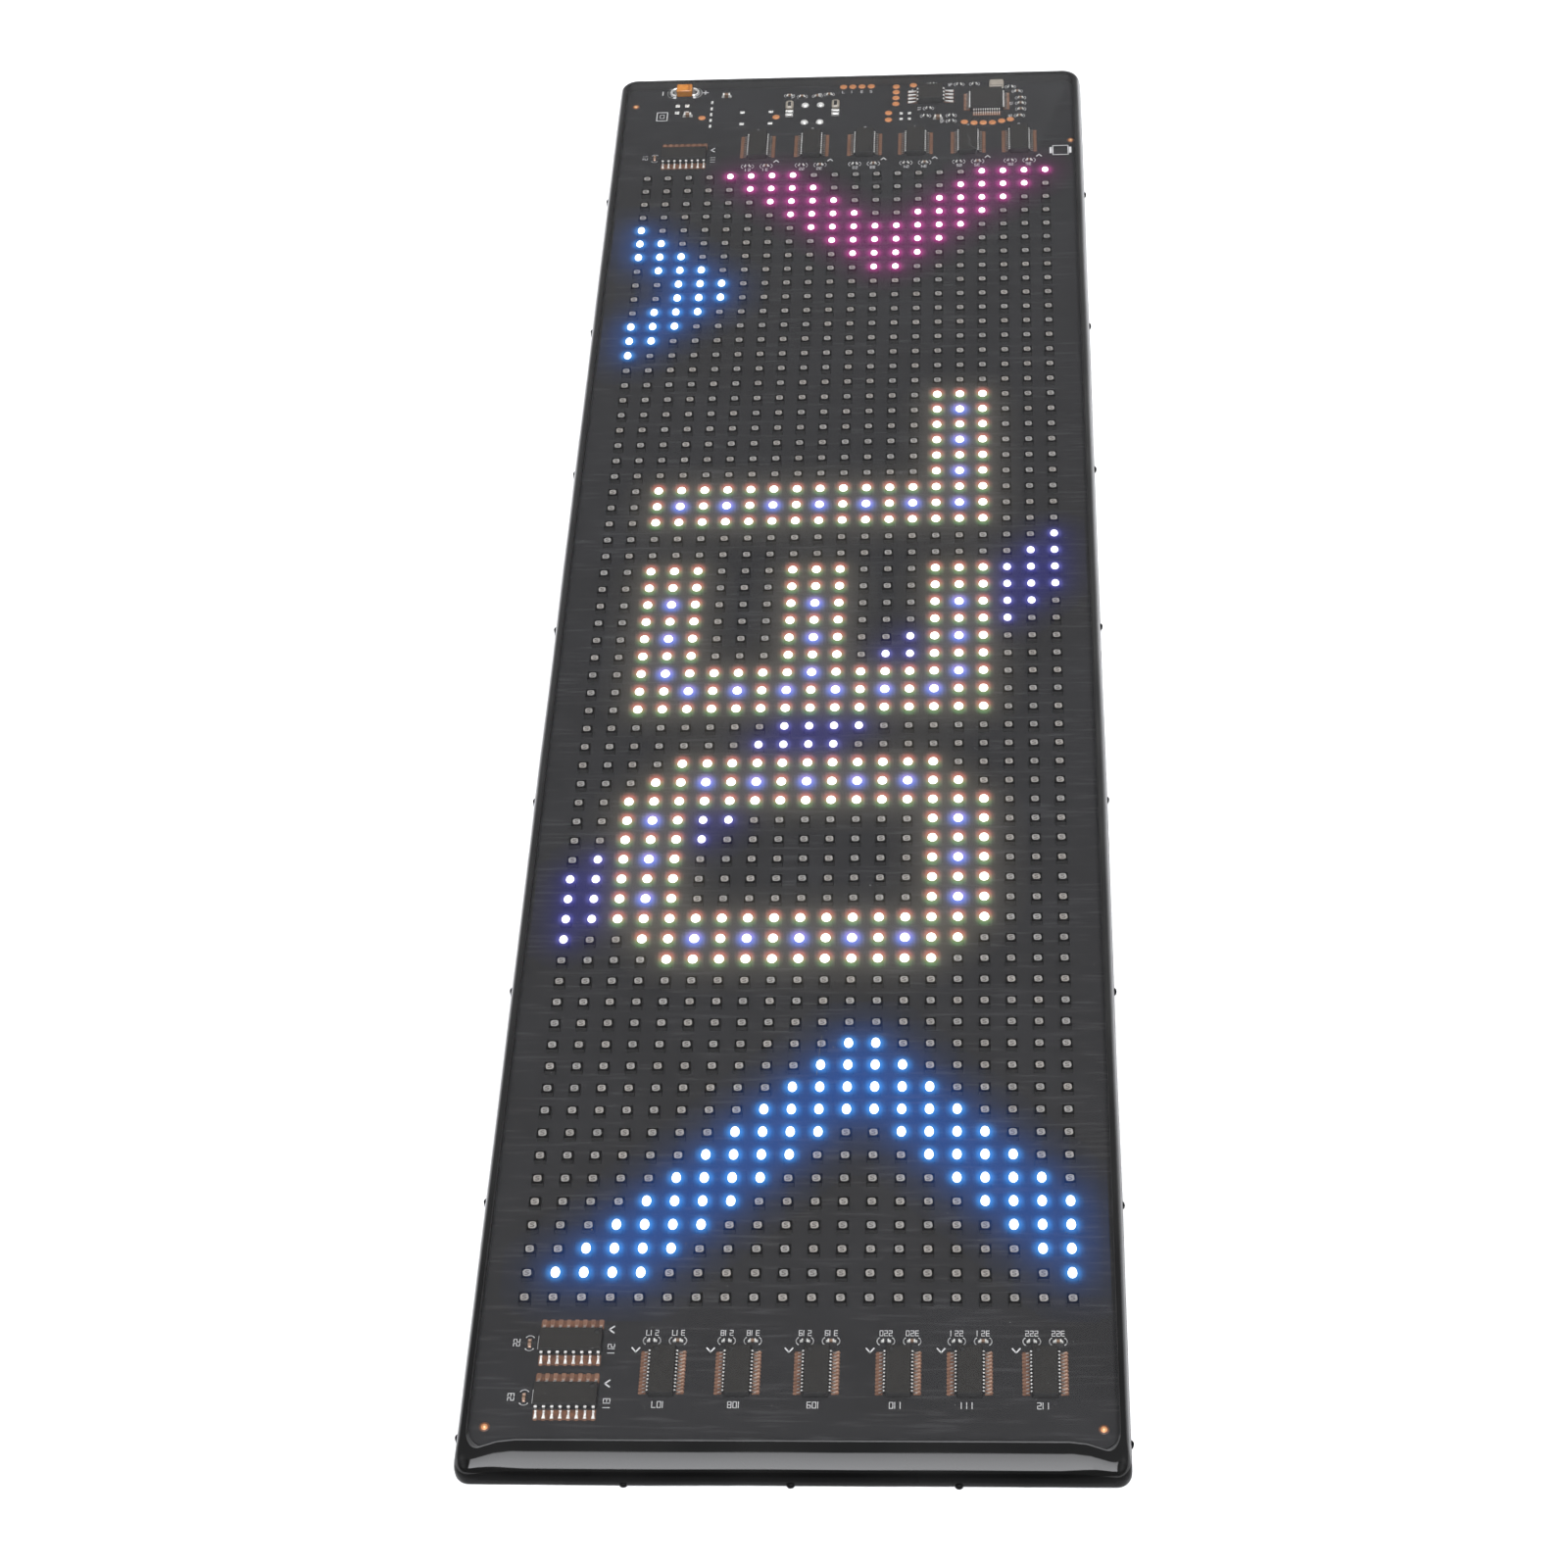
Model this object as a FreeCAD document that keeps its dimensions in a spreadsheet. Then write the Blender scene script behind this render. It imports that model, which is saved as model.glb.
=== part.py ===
import FreeCAD, Part
import math
import os

import Sketcher
from FreeCAD import Placement, Rotation, Vector

# A soft, flat LED sign panel, lying on its back, in millimetres.
# X runs across the panel, Y runs along it from the near end to the far end, Z points up out of
# the lit face. The origin is the middle of the outline, on the surface that the panel lies on.
# Everything on the board is placed from the middle of the panel across, and from the first or
# the last row of LEDs along, so the lattice of LEDs is what the whole panel is laid out around.

doc = FreeCAD.newDocument("led_sign_panel")

# Driving sizes

SIZES = {
    # the lattice of LEDs and what is left around it
    "led_columns": 20,
    "led_rows": 64,
    "led_pitch": 4.5,
    "rows_in_block": 8,
    "side_margin": 8.25,
    "near_margin": 31.15,
    "far_margin": 35.35,
    # the moulded backing
    "panel_thickness": 4.2,
    "straight_wall": 1.0,
    "corner_radius": 3.5,
    "near_roll": 4.8,
    "edge_roll": 1.2,
    "near_corner": 3.6,
    "far_corner": 3.1,
    "lip": 0.4,
    "floor_thickness": 1.9,
    "nub_radius": 0.7,
    "nub_reach": 0.4,
    "nub_height": 0.8,
    "side_nubs": 8,
    "side_nub_from_near_end": 7.2,
    "side_nub_from_far_end": 40.4,
    "end_nubs": 3,
    "end_nub_from_side": 25.8,
    # the board and the clear coat, which lie in the backing's recess
    "board_thickness": 0.3,
    "fit_gap": 0.1,
    "window_gap": 0.25,
    "field_gap": 0.6,
    # one LED
    "led_side": 2.0,
    "led_height": 1.2,
    # column driver: a small package with two rows of twelve leads
    "column_body_length": 8.65,
    "column_body_width": 3.9,
    "column_body_height": 1.4,
    "column_leads_a_side": 12,
    "column_lead_pitch": 0.635,
    "column_lead_width": 0.3,
    "column_lead_reach": 1.05,
    # row driver: a package with two rows of eight leads
    "row_body_length": 9.9,
    "row_body_width": 3.9,
    "row_body_height": 1.45,
    "row_leads_a_side": 8,
    "row_lead_pitch": 1.27,
    "row_lead_width": 0.42,
    "row_lead_reach": 1.05,
    # flash memory: a wide package with two rows of four leads
    "memory_body_length": 5.3,
    "memory_body_width": 5.3,
    "memory_body_height": 1.6,
    "memory_leads_a_side": 4,
    "memory_lead_pitch": 1.27,
    "memory_lead_width": 0.42,
    "memory_lead_reach": 1.3,
    # controller: a square package with twelve leads on each of four sides
    "controller_body": 7.0,
    "controller_height": 1.4,
    "controller_leads_a_side": 12,
    "controller_lead_pitch": 0.5,
    "controller_lead_width": 0.24,
    "controller_lead_reach": 1.0,
    # what all packages share
    "standoff": 0.1,
    "dimple_radius": 0.4,
    "dimple_depth": 0.15,
    "dimple_inset": 0.85,
    # small two-ended parts, length by width by height
    "small_length": 1.0,
    "small_width": 0.5,
    "small_height": 0.4,
    "medium_length": 1.6,
    "medium_width": 0.8,
    "medium_height": 0.8,
    "fuse_length": 5.2,
    "fuse_width": 1.7,
    "fuse_height": 1.1,
    "crystal_length": 3.2,
    "crystal_width": 2.2,
    "crystal_height": 0.8,
    "input_body_length": 3.4,
    "input_body_width": 2.6,
    "input_body_height": 1.6,
    "input_terminal_radius": 1.5,
    "input_terminal_height": 0.6,
    # copper and solder on the board
    "pad_radius": 0.75,
    "pad_thickness": 0.08,
    "fiducial_radius": 0.5,
    "joint_radius": 0.85,
    "joint_height": 0.5,
}

# Places on the board: across from the middle, then along from the nearest row of LEDs

NEAR_PLACES = {
    "near_column_driver": [
        (-20.3, 12.9), (-8.7, 12.9), (3.4, 12.9), (15.9, 12.9), (26.8, 12.9), (38.3, 12.9),
    ],
    "near_row_driver": [(-34.85, 7.6), (-34.85, 17.25)],
    "near_row_capacitor": [(-41.3, 7.7), (-41.3, 17.35)],
}
FAR_PLACES = {
    "far_column_driver": [
        (-19.4, 11.8), (-7.7, 11.8), (3.85, 11.8), (14.9, 11.8), (26.3, 11.8), (37.35, 11.8),
    ],
    "far_row_driver": [(-35.4, 8.75)],
    "far_row_capacitor": [(-41.8, 8.55)],
    "controller": [(30.35, 26.35)],
    "memory": [(18.05, 28.65)],
    "crystal": [(32.55, 32.5)],
    "input": [(-36.6, 32.15)],
    "fuse": [(-13.0, 24.8), (-2.85, 24.8)],
    "medium": [(-35.5, 23.65), (19.7, 20.65), (-27.2, 30.4)],
    "resistor": [
        (24.3, 32.9), (27.7, 32.9), (18.3, 33.2), (35.6, 31.5),
        (22.6, 21.55), (22.6, 19.55), (17.6, 24.35), (17.0, 21.65),
    ],
    "decoupler": [
        (37.1, 29.85), (37.8, 27.45), (37.8, 25.45), (37.8, 23.35), (37.5, 20.95),
        (-13.2, 30.25), (-10.4, 29.85), (-7.0, 29.85), (-4.4, 30.35),
    ],
    "joint": [(-9.6, 26.5), (-6.2, 26.5), (-9.6, 20.3), (-6.2, 20.3)],
    "pad": [
        (-1.3, 33.0), (0.75, 33.0), (2.8, 33.0), (4.85, 33.0),
        (10.4, 32.65), (10.4, 30.6), (10.4, 28.45), (10.4, 26.3), (14.2, 33.0),
        (8.85, 23.05), (8.85, 20.55), (-15.9, 22.55), (-32.3, 22.85),
        (25.5, 19.15), (27.6, 18.75), (29.6, 18.75), (31.6, 18.75), (33.6, 19.25), (35.5, 19.75),
    ],
}
# Round copper marks at the board's corners: in from its side, then in from its near or far end
CORNER_MARKS = {
    "near_left": (2.5, 3.45),
    "near_right": (2.5, 3.45),
    "far_left": (2.2, 6.3),
    "far_right": (0.95, 22.0),
}
# Each column driver has one resistor and one capacitor, towards the LEDs, this far from its middle
DRIVER_PARTS = {
    "driver_resistor_across": 2.0,
    "driver_capacitor_across": 2.05,
    "near_driver_parts_along": 5.7,
    "far_driver_parts_along": 6.75,
}
# One long opening over the far strip of parts, across and along
STRIP = {
    "strip_left": 42.6,
    "strip_right": 39.2,
    "strip_start": 17.7,
    "strip_end": 33.82,
}


def make_sheet(name, values):
    """A spreadsheet with one named number in each row."""
    sheet = doc.addObject("Spreadsheet::Sheet", name)
    for line, (alias, value) in enumerate(values.items(), 1):
        sheet.set(f"A{line}", alias)
        sheet.set(f"B{line}", str(value))
        sheet.setAlias(f"B{line}", alias)
    return sheet


def place_values():
    """Every place as two named numbers, such as joint_1_x and joint_1_y."""
    values = {}
    for group in (NEAR_PLACES, FAR_PLACES):
        for name, points in group.items():
            for number, (across, along) in enumerate(points, 1):
                values[f"{name}_{number}_x"] = across
                values[f"{name}_{number}_y"] = along
    for corner, (across, along) in CORNER_MARKS.items():
        values[f"{corner}_mark_x"] = across
        values[f"{corner}_mark_y"] = along
    values.update(DRIVER_PARTS)
    values.update(STRIP)
    return values


sizes = make_sheet("Sizes", SIZES)
places = make_sheet("Places", place_values())
doc.recompute()

# Sizes that follow from the driving ones

FIELD_WIDTH = "(Sizes.led_columns - 1) * Sizes.led_pitch"
FIELD_LENGTH = "(Sizes.led_rows - 1) * Sizes.led_pitch"
HALF_WIDTH = f"({FIELD_WIDTH} / 2 + Sizes.side_margin)"
HALF_LENGTH = f"(({FIELD_LENGTH} + Sizes.near_margin + Sizes.far_margin) / 2)"
FIRST_ROW = f"({HALF_LENGTH} - Sizes.far_margin)"
LAST_ROW = f"(Sizes.near_margin - {HALF_LENGTH})"
FOLLOWING = {
    "half_width": HALF_WIDTH,
    "half_length": HALF_LENGTH,
    "first_row": FIRST_ROW,
    "last_row": LAST_ROW,
    "board_top": "Sizes.floor_thickness + Sizes.board_thickness",
    "recess_side": f"{HALF_WIDTH} - Sizes.edge_roll - Sizes.lip",
    "recess_near": f"Sizes.near_roll + Sizes.lip - {HALF_LENGTH}",
    "recess_far": f"{HALF_LENGTH} - Sizes.edge_roll - Sizes.lip",
    "field_side": f"({FIELD_WIDTH} + Sizes.led_side) / 2 + Sizes.field_gap",
    "field_near": f"{LAST_ROW} - Sizes.led_side / 2 - Sizes.field_gap",
    "field_far": f"{FIRST_ROW} + Sizes.led_side / 2 + Sizes.field_gap",
}
layout = doc.addObject("App::VarSet", "Layout")
for name, formula in FOLLOWING.items():
    layout.addProperty("App::PropertyFloat", name, "Layout")
    layout.setExpression(name, formula)
doc.recompute()


def size(name):
    return float(sizes.get(name))


def point_terms(name, number):
    """The across and along formulas of a place on the board."""
    across = f"Places.{name}_{number}_x"
    if name in NEAR_PLACES:
        return across, f"Layout.last_row - Places.{name}_{number}_y"
    return across, f"Layout.first_row + Places.{name}_{number}_y"


def all_places(*names):
    """The formulas of every place of the named kinds."""
    both = {**NEAR_PLACES, **FAR_PLACES}
    return [point_terms(name, number) for name in names for number in range(1, len(both[name]) + 1)]


def corner_marks():
    """The formulas of the copper marks, each from its own corner of the board."""
    terms = []
    for corner in CORNER_MARKS:
        inset = f"Places.{corner}_mark"
        side = f"(Layout.recess_side - {inset}_x)"
        across = f"-{side}" if "left" in corner else side
        near = f"Layout.recess_near + {inset}_y"
        far = f"Layout.recess_far - {inset}_y"
        terms.append((across, near if "near" in corner else far))
    return terms


# Sketch helpers

def origin_plane(body, role):
    return next(plane for plane in body.Origin.OriginFeatures if plane.Role == role)


def new_body(label):
    body = doc.addObject("PartDesign::Body", label)
    body.Label = label
    body.AllowCompound = True
    return body


def new_sketch(body, name, height="0"):
    sketch = body.newObject("Sketcher::SketchObject", name)
    sketch.AttachmentSupport = [(origin_plane(body, "XY_Plane"), "")]
    sketch.MapMode = "FlatFace"
    sketch.setExpression("AttachmentOffset.Base.z", height)
    return sketch


POINTS = ("edge", "start", "end", "centre")  # how a sketch numbers the points of an edge


def constrain(sketch, kind, *terms, formula=None):
    """Adds one constraint, tied to a formula where one is given. Points go by their names."""
    terms = [POINTS.index(term) if term in POINTS else term for term in terms]
    number = sketch.addConstraint(Sketcher.Constraint(kind, *terms))
    if formula is not None:
        sketch.setExpression(f"Constraints[{number}]", formula)


def add_lines(sketch, corners):
    """Closed lines through the corners, joined end to start. Returns the first line's number."""
    first = sketch.GeometryCount
    for here, there in zip(corners, corners[1:] + corners[:1]):
        sketch.addGeometry(Part.LineSegment(Vector(*here, 0), Vector(*there, 0)), False)
    count = len(corners)
    for line in range(count):
        constrain(sketch, "Coincident", first + line, "end", first + (line + 1) % count, "start")
    return first


def add_rectangle(sketch, left, right, near, far):
    """A rectangle whose four sides are at the given formulas."""
    first = add_lines(sketch, [(-1, -1), (1, -1), (1, 1), (-1, 1)])
    for line in (first, first + 2):
        constrain(sketch, "Horizontal", line)
    for line in (first + 1, first + 3):
        constrain(sketch, "Vertical", line)
    constrain(sketch, "DistanceX", first, "start", -1, formula=left)
    constrain(sketch, "DistanceX", first, "end", 1, formula=right)
    constrain(sketch, "DistanceY", first, "start", -1, formula=near)
    constrain(sketch, "DistanceY", first + 2, "start", 1, formula=far)


def add_block(sketch, across, along, width, length):
    """A rectangle of a given size round a middle point."""
    add_rectangle(
        sketch,
        f"{across} - ({width}) / 2",
        f"{across} + ({width}) / 2",
        f"{along} - ({length}) / 2",
        f"{along} + ({length}) / 2",
    )


def add_round(sketch, across, along, radius, flats):
    """A small round outline, drawn as equal flats round a middle point."""
    turns = [2 * math.pi * (corner + 0.5) / flats for corner in range(flats)]
    corners = [(round(math.cos(turn), 6), round(math.sin(turn), 6)) for turn in turns]
    first = add_lines(sketch, corners)
    for line, (x, y) in enumerate(corners, first):
        constrain(sketch, "DistanceX", line, "start", x, formula=f"{across} + {x} * ({radius})")
        constrain(sketch, "DistanceY", line, "start", y, formula=f"{along} + {y} * ({radius})")


def add_rounded(sketch, side, near, far, near_radius, far_radius):
    """A rectangle with tangent corner arcs: the near pair and the far pair have their own radii."""
    half, end, radius = 50, 170, 3
    inner, stop = half - radius, end - radius
    lines = [
        ((-inner, -end), (inner, -end)),
        ((half, -stop), (half, stop)),
        ((inner, end), (-inner, end)),
        ((-half, stop), (-half, -stop)),
    ]
    arcs = [((inner, -stop), -90), ((inner, stop), 0), ((-inner, stop), 90), ((-inner, -stop), 180)]
    for here, there in lines:
        sketch.addGeometry(Part.LineSegment(Vector(*here, 0), Vector(*there, 0)), False)
    for middle, start in arcs:
        circle = Part.Circle(Vector(*middle, 0), Vector(0, 0, 1), radius)
        turn = (math.radians(start), math.radians(start + 90))
        sketch.addGeometry(Part.ArcOfCircle(circle, *turn), False)
    for line in range(4):
        constrain(sketch, "Tangent", line, "end", 4 + line, "start")
        constrain(sketch, "Tangent", 4 + line, "end", (line + 1) % 4, "start")
    for line in (0, 2):
        constrain(sketch, "Horizontal", line)
    for line in (1, 3):
        constrain(sketch, "Vertical", line)
    constrain(sketch, "Equal", 4, 7)
    constrain(sketch, "Equal", 5, 6)
    constrain(sketch, "Radius", 4, radius, formula=near_radius)
    constrain(sketch, "Radius", 5, radius, formula=far_radius)
    constrain(sketch, "DistanceX", 3, "start", -half, formula=f"-({side})")
    constrain(sketch, "DistanceX", 1, "start", half, formula=side)
    constrain(sketch, "DistanceY", 0, "start", -end, formula=near)
    constrain(sketch, "DistanceY", 2, "start", end, formula=far)


def pad(body, name, sketch, height):
    feature = body.newObject("PartDesign::Pad", name)
    feature.Profile = sketch
    feature.setExpression("Length", height)
    return feature


def pocket(body, name, sketch, depth=None):
    """A cut downwards from the sketch, or through everything where no depth is given."""
    feature = body.newObject("PartDesign::Pocket", name)
    feature.Profile = sketch
    if depth is None:
        feature.Type = "ThroughAll"
        feature.Midplane = True
    else:
        feature.setExpression("Length", depth)
    return feature


def line_up(body, name, feature, role, copies, length):
    """Copies of a feature spread evenly over a length, along an origin axis of its body."""
    pattern = body.newObject("PartDesign::LinearPattern", name)
    pattern.Originals = [feature]
    pattern.Direction = (origin_plane(body, role), [""])
    pattern.setExpression("Occurrences", copies)
    pattern.setExpression("Length", length)
    body.Tip = pattern
    return pattern


# Moulded backing

ROLL_STEPS = 5  # flats that make up the rounded edge
NUB_FLATS = 8


def make_backing():
    """A soft black tray. Its outer edge rolls over, wide at the near end and tight elsewhere."""
    body = new_body("moulded_backing")
    outline = new_sketch(body, "outline")
    add_rounded(
        outline, "Layout.half_width", "-Layout.half_length", "Layout.half_length",
        "Sizes.corner_radius", "Sizes.corner_radius",
    )
    pad(body, "straight_wall", outline, "Sizes.straight_wall")

    rings = []
    for step in range(ROLL_STEPS + 1):
        turn = math.radians(90 * step / ROLL_STEPS)
        rise, inset = round(math.sin(turn), 6), round(1 - math.cos(turn), 6)
        ring = new_sketch(
            body, f"roll_ring_{step}",
            f"Sizes.straight_wall + {rise} * (Sizes.panel_thickness - Sizes.straight_wall)",
        )
        add_rounded(
            ring,
            f"Layout.half_width - {inset} * Sizes.edge_roll",
            f"{inset} * Sizes.near_roll - Layout.half_length",
            f"Layout.half_length - {inset} * Sizes.edge_roll",
            f"Sizes.corner_radius + {inset} * (Sizes.near_corner - Sizes.corner_radius)",
            f"Sizes.corner_radius + {inset} * (Sizes.far_corner - Sizes.corner_radius)",
        )
        rings.append(ring)
    roll = body.newObject("PartDesign::AdditiveLoft", "rolled_edge")
    roll.Profile = rings[0]
    roll.Sections = rings[1:]
    roll.Ruled = True

    recess = new_sketch(body, "recess_outline", "Sizes.panel_thickness")
    add_rounded(
        recess, "Layout.recess_side", "Layout.recess_near", "Layout.recess_far",
        "Sizes.near_corner - Sizes.lip", "Sizes.far_corner - Sizes.lip",
    )
    pocket(body, "recess", recess, "Sizes.panel_thickness - Sizes.floor_thickness")

    side_nub = new_sketch(body, "side_nub_outline")
    reach = "(Layout.half_width + Sizes.nub_reach - Sizes.nub_radius)"
    for sign in ("-", ""):
        start = "Sizes.side_nub_from_near_end - Layout.half_length"
        add_round(side_nub, sign + reach, start, "Sizes.nub_radius", NUB_FLATS)
    nub = pad(body, "side_nub", side_nub, "Sizes.nub_height")
    span = "2 * Layout.half_length - Sizes.side_nub_from_near_end - Sizes.side_nub_from_far_end"
    line_up(body, "side_nub_row", nub, "Y_Axis", "Sizes.side_nubs", span)

    end_nub = new_sketch(body, "end_nub_outline")
    reach = "(Layout.half_length + Sizes.nub_reach - Sizes.nub_radius)"
    for sign in ("-", ""):
        start = "Sizes.end_nub_from_side - Layout.half_width"
        add_round(end_nub, start, sign + reach, "Sizes.nub_radius", NUB_FLATS)
    nub = pad(body, "end_nub", end_nub, "Sizes.nub_height")
    span = "2 * (Layout.half_width - Sizes.end_nub_from_side)"
    line_up(body, "end_nub_row", nub, "X_Axis", "Sizes.end_nubs", span)
    return body


def add_recess_fit(sketch):
    """The outline of what drops into the recess, one fit gap inside it all round."""
    add_rounded(
        sketch,
        "Layout.recess_side - Sizes.fit_gap",
        "Layout.recess_near + Sizes.fit_gap",
        "Layout.recess_far - Sizes.fit_gap",
        "Sizes.near_corner - Sizes.lip - Sizes.fit_gap",
        "Sizes.far_corner - Sizes.lip - Sizes.fit_gap",
    )


def make_board():
    """The bendable circuit board, flat on the floor of the backing."""
    body = new_body("flex_board")
    outline = new_sketch(body, "board_outline", "Sizes.floor_thickness")
    add_recess_fit(outline)
    pad(body, "board", outline, "Sizes.board_thickness")
    return body


def driver_window(sketch, name, number, parts_along):
    """One opening over a column driver and the two small parts on its LED side."""
    across, along = point_terms(name, number)
    half_width = "(Sizes.column_body_width / 2 + Sizes.column_lead_reach + Sizes.window_gap)"
    half_length = "(Sizes.column_body_length / 2 + Sizes.window_gap)"
    to_parts = f"({parts_along} + Sizes.small_width / 2 + Sizes.window_gap)"
    if name in NEAR_PLACES:
        near, far = f"{along} - {half_length}", f"{along} + {to_parts}"
    else:
        near, far = f"{along} - {to_parts}", f"{along} + {half_length}"
    add_rectangle(sketch, f"{across} - {half_width}", f"{across} + {half_width}", near, far)


def row_window(sketch, driver, capacitor, number):
    """One opening over a row driver and the small capacitor on its left."""
    across, along = point_terms(driver, number)
    capacitor_across = point_terms(capacitor, number)[0]
    half_length = "(Sizes.row_body_length / 2 + Sizes.window_gap)"
    half_width = "(Sizes.row_body_width / 2 + Sizes.row_lead_reach + Sizes.window_gap)"
    add_rectangle(
        sketch,
        f"{capacitor_across} - Sizes.small_width / 2 - Sizes.window_gap",
        f"{across} + {half_length}",
        f"{along} - {half_width}",
        f"{along} + {half_width}",
    )


def make_coat():
    """Clear soft filling, flush with the lip. It is open over the LEDs and over the parts."""
    body = new_body("clear_coat")
    outline = new_sketch(body, "coat_outline", "Layout.board_top")
    add_recess_fit(outline)
    pad(body, "coat", outline, "Sizes.panel_thickness - Layout.board_top")

    windows = new_sketch(body, "windows", "Sizes.panel_thickness")
    add_rectangle(
        windows, "-Layout.field_side", "Layout.field_side", "Layout.field_near", "Layout.field_far"
    )
    for number in range(1, len(NEAR_PLACES["near_column_driver"]) + 1):
        driver_window(windows, "near_column_driver", number, "Places.near_driver_parts_along")
    for number in range(1, len(FAR_PLACES["far_column_driver"]) + 1):
        driver_window(windows, "far_column_driver", number, "Places.far_driver_parts_along")
    for number in range(1, len(NEAR_PLACES["near_row_driver"]) + 1):
        row_window(windows, "near_row_driver", "near_row_capacitor", number)
    row_window(windows, "far_row_driver", "far_row_capacitor", 1)
    for across, along in corner_marks():
        opening = "2 * (Sizes.fiducial_radius + Sizes.window_gap)"
        add_block(windows, across, along, opening, opening)
    add_rectangle(
        windows,
        "-Places.strip_left",
        "Places.strip_right",
        "Layout.first_row + Places.strip_start",
        "Layout.first_row + Places.strip_end",
    )
    pocket(body, "openings", windows)
    return body


# LEDs

def led_shape(side, height):
    """One LED: a flat square window on top, and below it a cup that narrows to its joint."""
    half = side / 2
    window = [Vector(x, y, height) for x, y in ((-half, -half), (half, -half), (half, half), (-half, half))]
    joint = Vector(0, 0, 0)
    faces = [Part.Face(Part.makePolygon(window + window[:1]))]
    for here, there in zip(window, window[1:] + window[:1]):
        faces.append(Part.Face(Part.makePolygon([here, joint, there, here])))
    solid = Part.makeSolid(Part.makeShell(faces))
    if solid.Volume < 0:
        solid.reverse()
    return solid


def make_led_block(number):
    """Some whole rows of LEDs. Block 1 is at the far end."""
    columns, pitch = int(size("led_columns")), size("led_pitch")
    block_rows = int(size("rows_in_block"))
    first = (number - 1) * block_rows
    last = min(first + block_rows, int(size("led_rows")))
    led = led_shape(size("led_side"), size("led_height"))
    leds = []
    for row in range(first, last):
        for column in range(columns):
            across = (column - (columns - 1) / 2) * pitch
            along = layout.first_row - row * pitch
            leds.append(led.translated(Vector(across, along, 0)))
    block = doc.addObject("Part::Feature", f"led_block_{number}")
    block.Shape = Part.makeCompound(leds)
    block.setExpression("Placement.Base.z", "Layout.board_top")
    return block


# Packages with leads

DIMPLE_FLATS = 6


def make_package(name, width, length, height):
    """A package body, standing just off the board, with a round mark sunk in at its first lead."""
    body = new_body(name)
    outline = new_sketch(body, f"{name}_outline", "Sizes.standoff")
    add_block(outline, "0", "0", width, length)
    pad(body, f"{name}_block", outline, height)
    mark = new_sketch(body, f"{name}_mark", f"Sizes.standoff + {height}")
    add_round(
        mark,
        f"Sizes.dimple_inset - {width} / 2",
        f"{length} / 2 - Sizes.dimple_inset",
        "Sizes.dimple_radius",
        DIMPLE_FLATS,
    )
    pocket(body, f"{name}_dimple", mark, "Sizes.dimple_depth")
    return body


def lead_shape(width, reach, height):
    """One lead, pointing along +X from the side of a package and sloping down to the board."""
    half = width / 2
    corners = [Vector(0, -half, 0), Vector(reach, -half, 0), Vector(0, -half, height)]
    side = Part.Face(Part.makePolygon(corners + corners[:1]))
    return side.extrude(Vector(0, width, 0))


def make_leads(name, prefix, body_width, count, sides):
    """Rows of leads along two or four sides of a package."""
    pitch, width, reach = (size(f"{prefix}_lead_{what}") for what in ("pitch", "width", "reach"))
    height = size("standoff") + (body_height(prefix) / 2)
    lead = lead_shape(width, reach, height)
    leads = []
    for side in range(sides):
        turn = Rotation(Vector(0, 0, 1), side * 360 / sides)
        for place in range(count):
            along = (place - (count - 1) / 2) * pitch
            one = lead.copy()
            one.Placement = Placement(turn.multVec(Vector(body_width / 2, along, 0)), turn)
            leads.append(one)
    feature = doc.addObject("Part::Feature", name)
    feature.Shape = Part.makeCompound(leads)
    return feature


def body_height(prefix):
    return size("controller_height") if prefix == "controller" else size(f"{prefix}_body_height")


def place_chip(label, parts, terms, turn=0):
    """A package and its leads together, standing on the board at a place."""
    chip = doc.addObject("Part::Compound", label)
    chip.Label = label
    chip.Links = parts
    chip.Placement = Placement(Vector(0, 0, 0), Rotation(Vector(0, 0, 1), turn))
    across, along = terms
    chip.setExpression("Placement.Base.x", across)
    chip.setExpression("Placement.Base.y", along)
    chip.setExpression("Placement.Base.z", "Layout.board_top")
    return chip


def make_chips():
    """Twelve column drivers, three row drivers, the controller and its memory."""
    column = [
        make_package(
            "column_package", "Sizes.column_body_width", "Sizes.column_body_length",
            "Sizes.column_body_height",
        ),
        make_leads(
            "column_leads", "column", size("column_body_width"),
            int(size("column_leads_a_side")), sides=2,
        ),
    ]
    row = [
        make_package(
            "row_package", "Sizes.row_body_width", "Sizes.row_body_length", "Sizes.row_body_height"
        ),
        make_leads(
            "row_leads", "row", size("row_body_width"), int(size("row_leads_a_side")), sides=2
        ),
    ]
    memory = [
        make_package(
            "memory_package", "Sizes.memory_body_width", "Sizes.memory_body_length",
            "Sizes.memory_body_height",
        ),
        make_leads(
            "memory_leads", "memory", size("memory_body_width"),
            int(size("memory_leads_a_side")), sides=2,
        ),
    ]
    controller = [
        make_package(
            "controller_package", "Sizes.controller_body", "Sizes.controller_body",
            "Sizes.controller_height",
        ),
        make_leads(
            "controller_leads", "controller", size("controller_body"),
            int(size("controller_leads_a_side")), sides=4,
        ),
    ]
    chips = []
    for terms in all_places("far_column_driver"):
        chips.append(place_chip(f"column_driver_{len(chips) + 1}", column, terms, turn=180))
    for terms in all_places("near_column_driver"):
        chips.append(place_chip(f"column_driver_{len(chips) + 1}", column, terms))
    for number, terms in enumerate(all_places("far_row_driver", "near_row_driver"), 1):
        chips.append(place_chip(f"row_driver_{number}", row, terms, turn=-90))
    chips.append(place_chip("controller", controller, point_terms("controller", 1), turn=180))
    chips.append(place_chip("flash_memory", memory, point_terms("memory", 1)))
    return chips


# Small parts, copper and solder

DISC_FLATS = 8  # flats round a small disc


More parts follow.
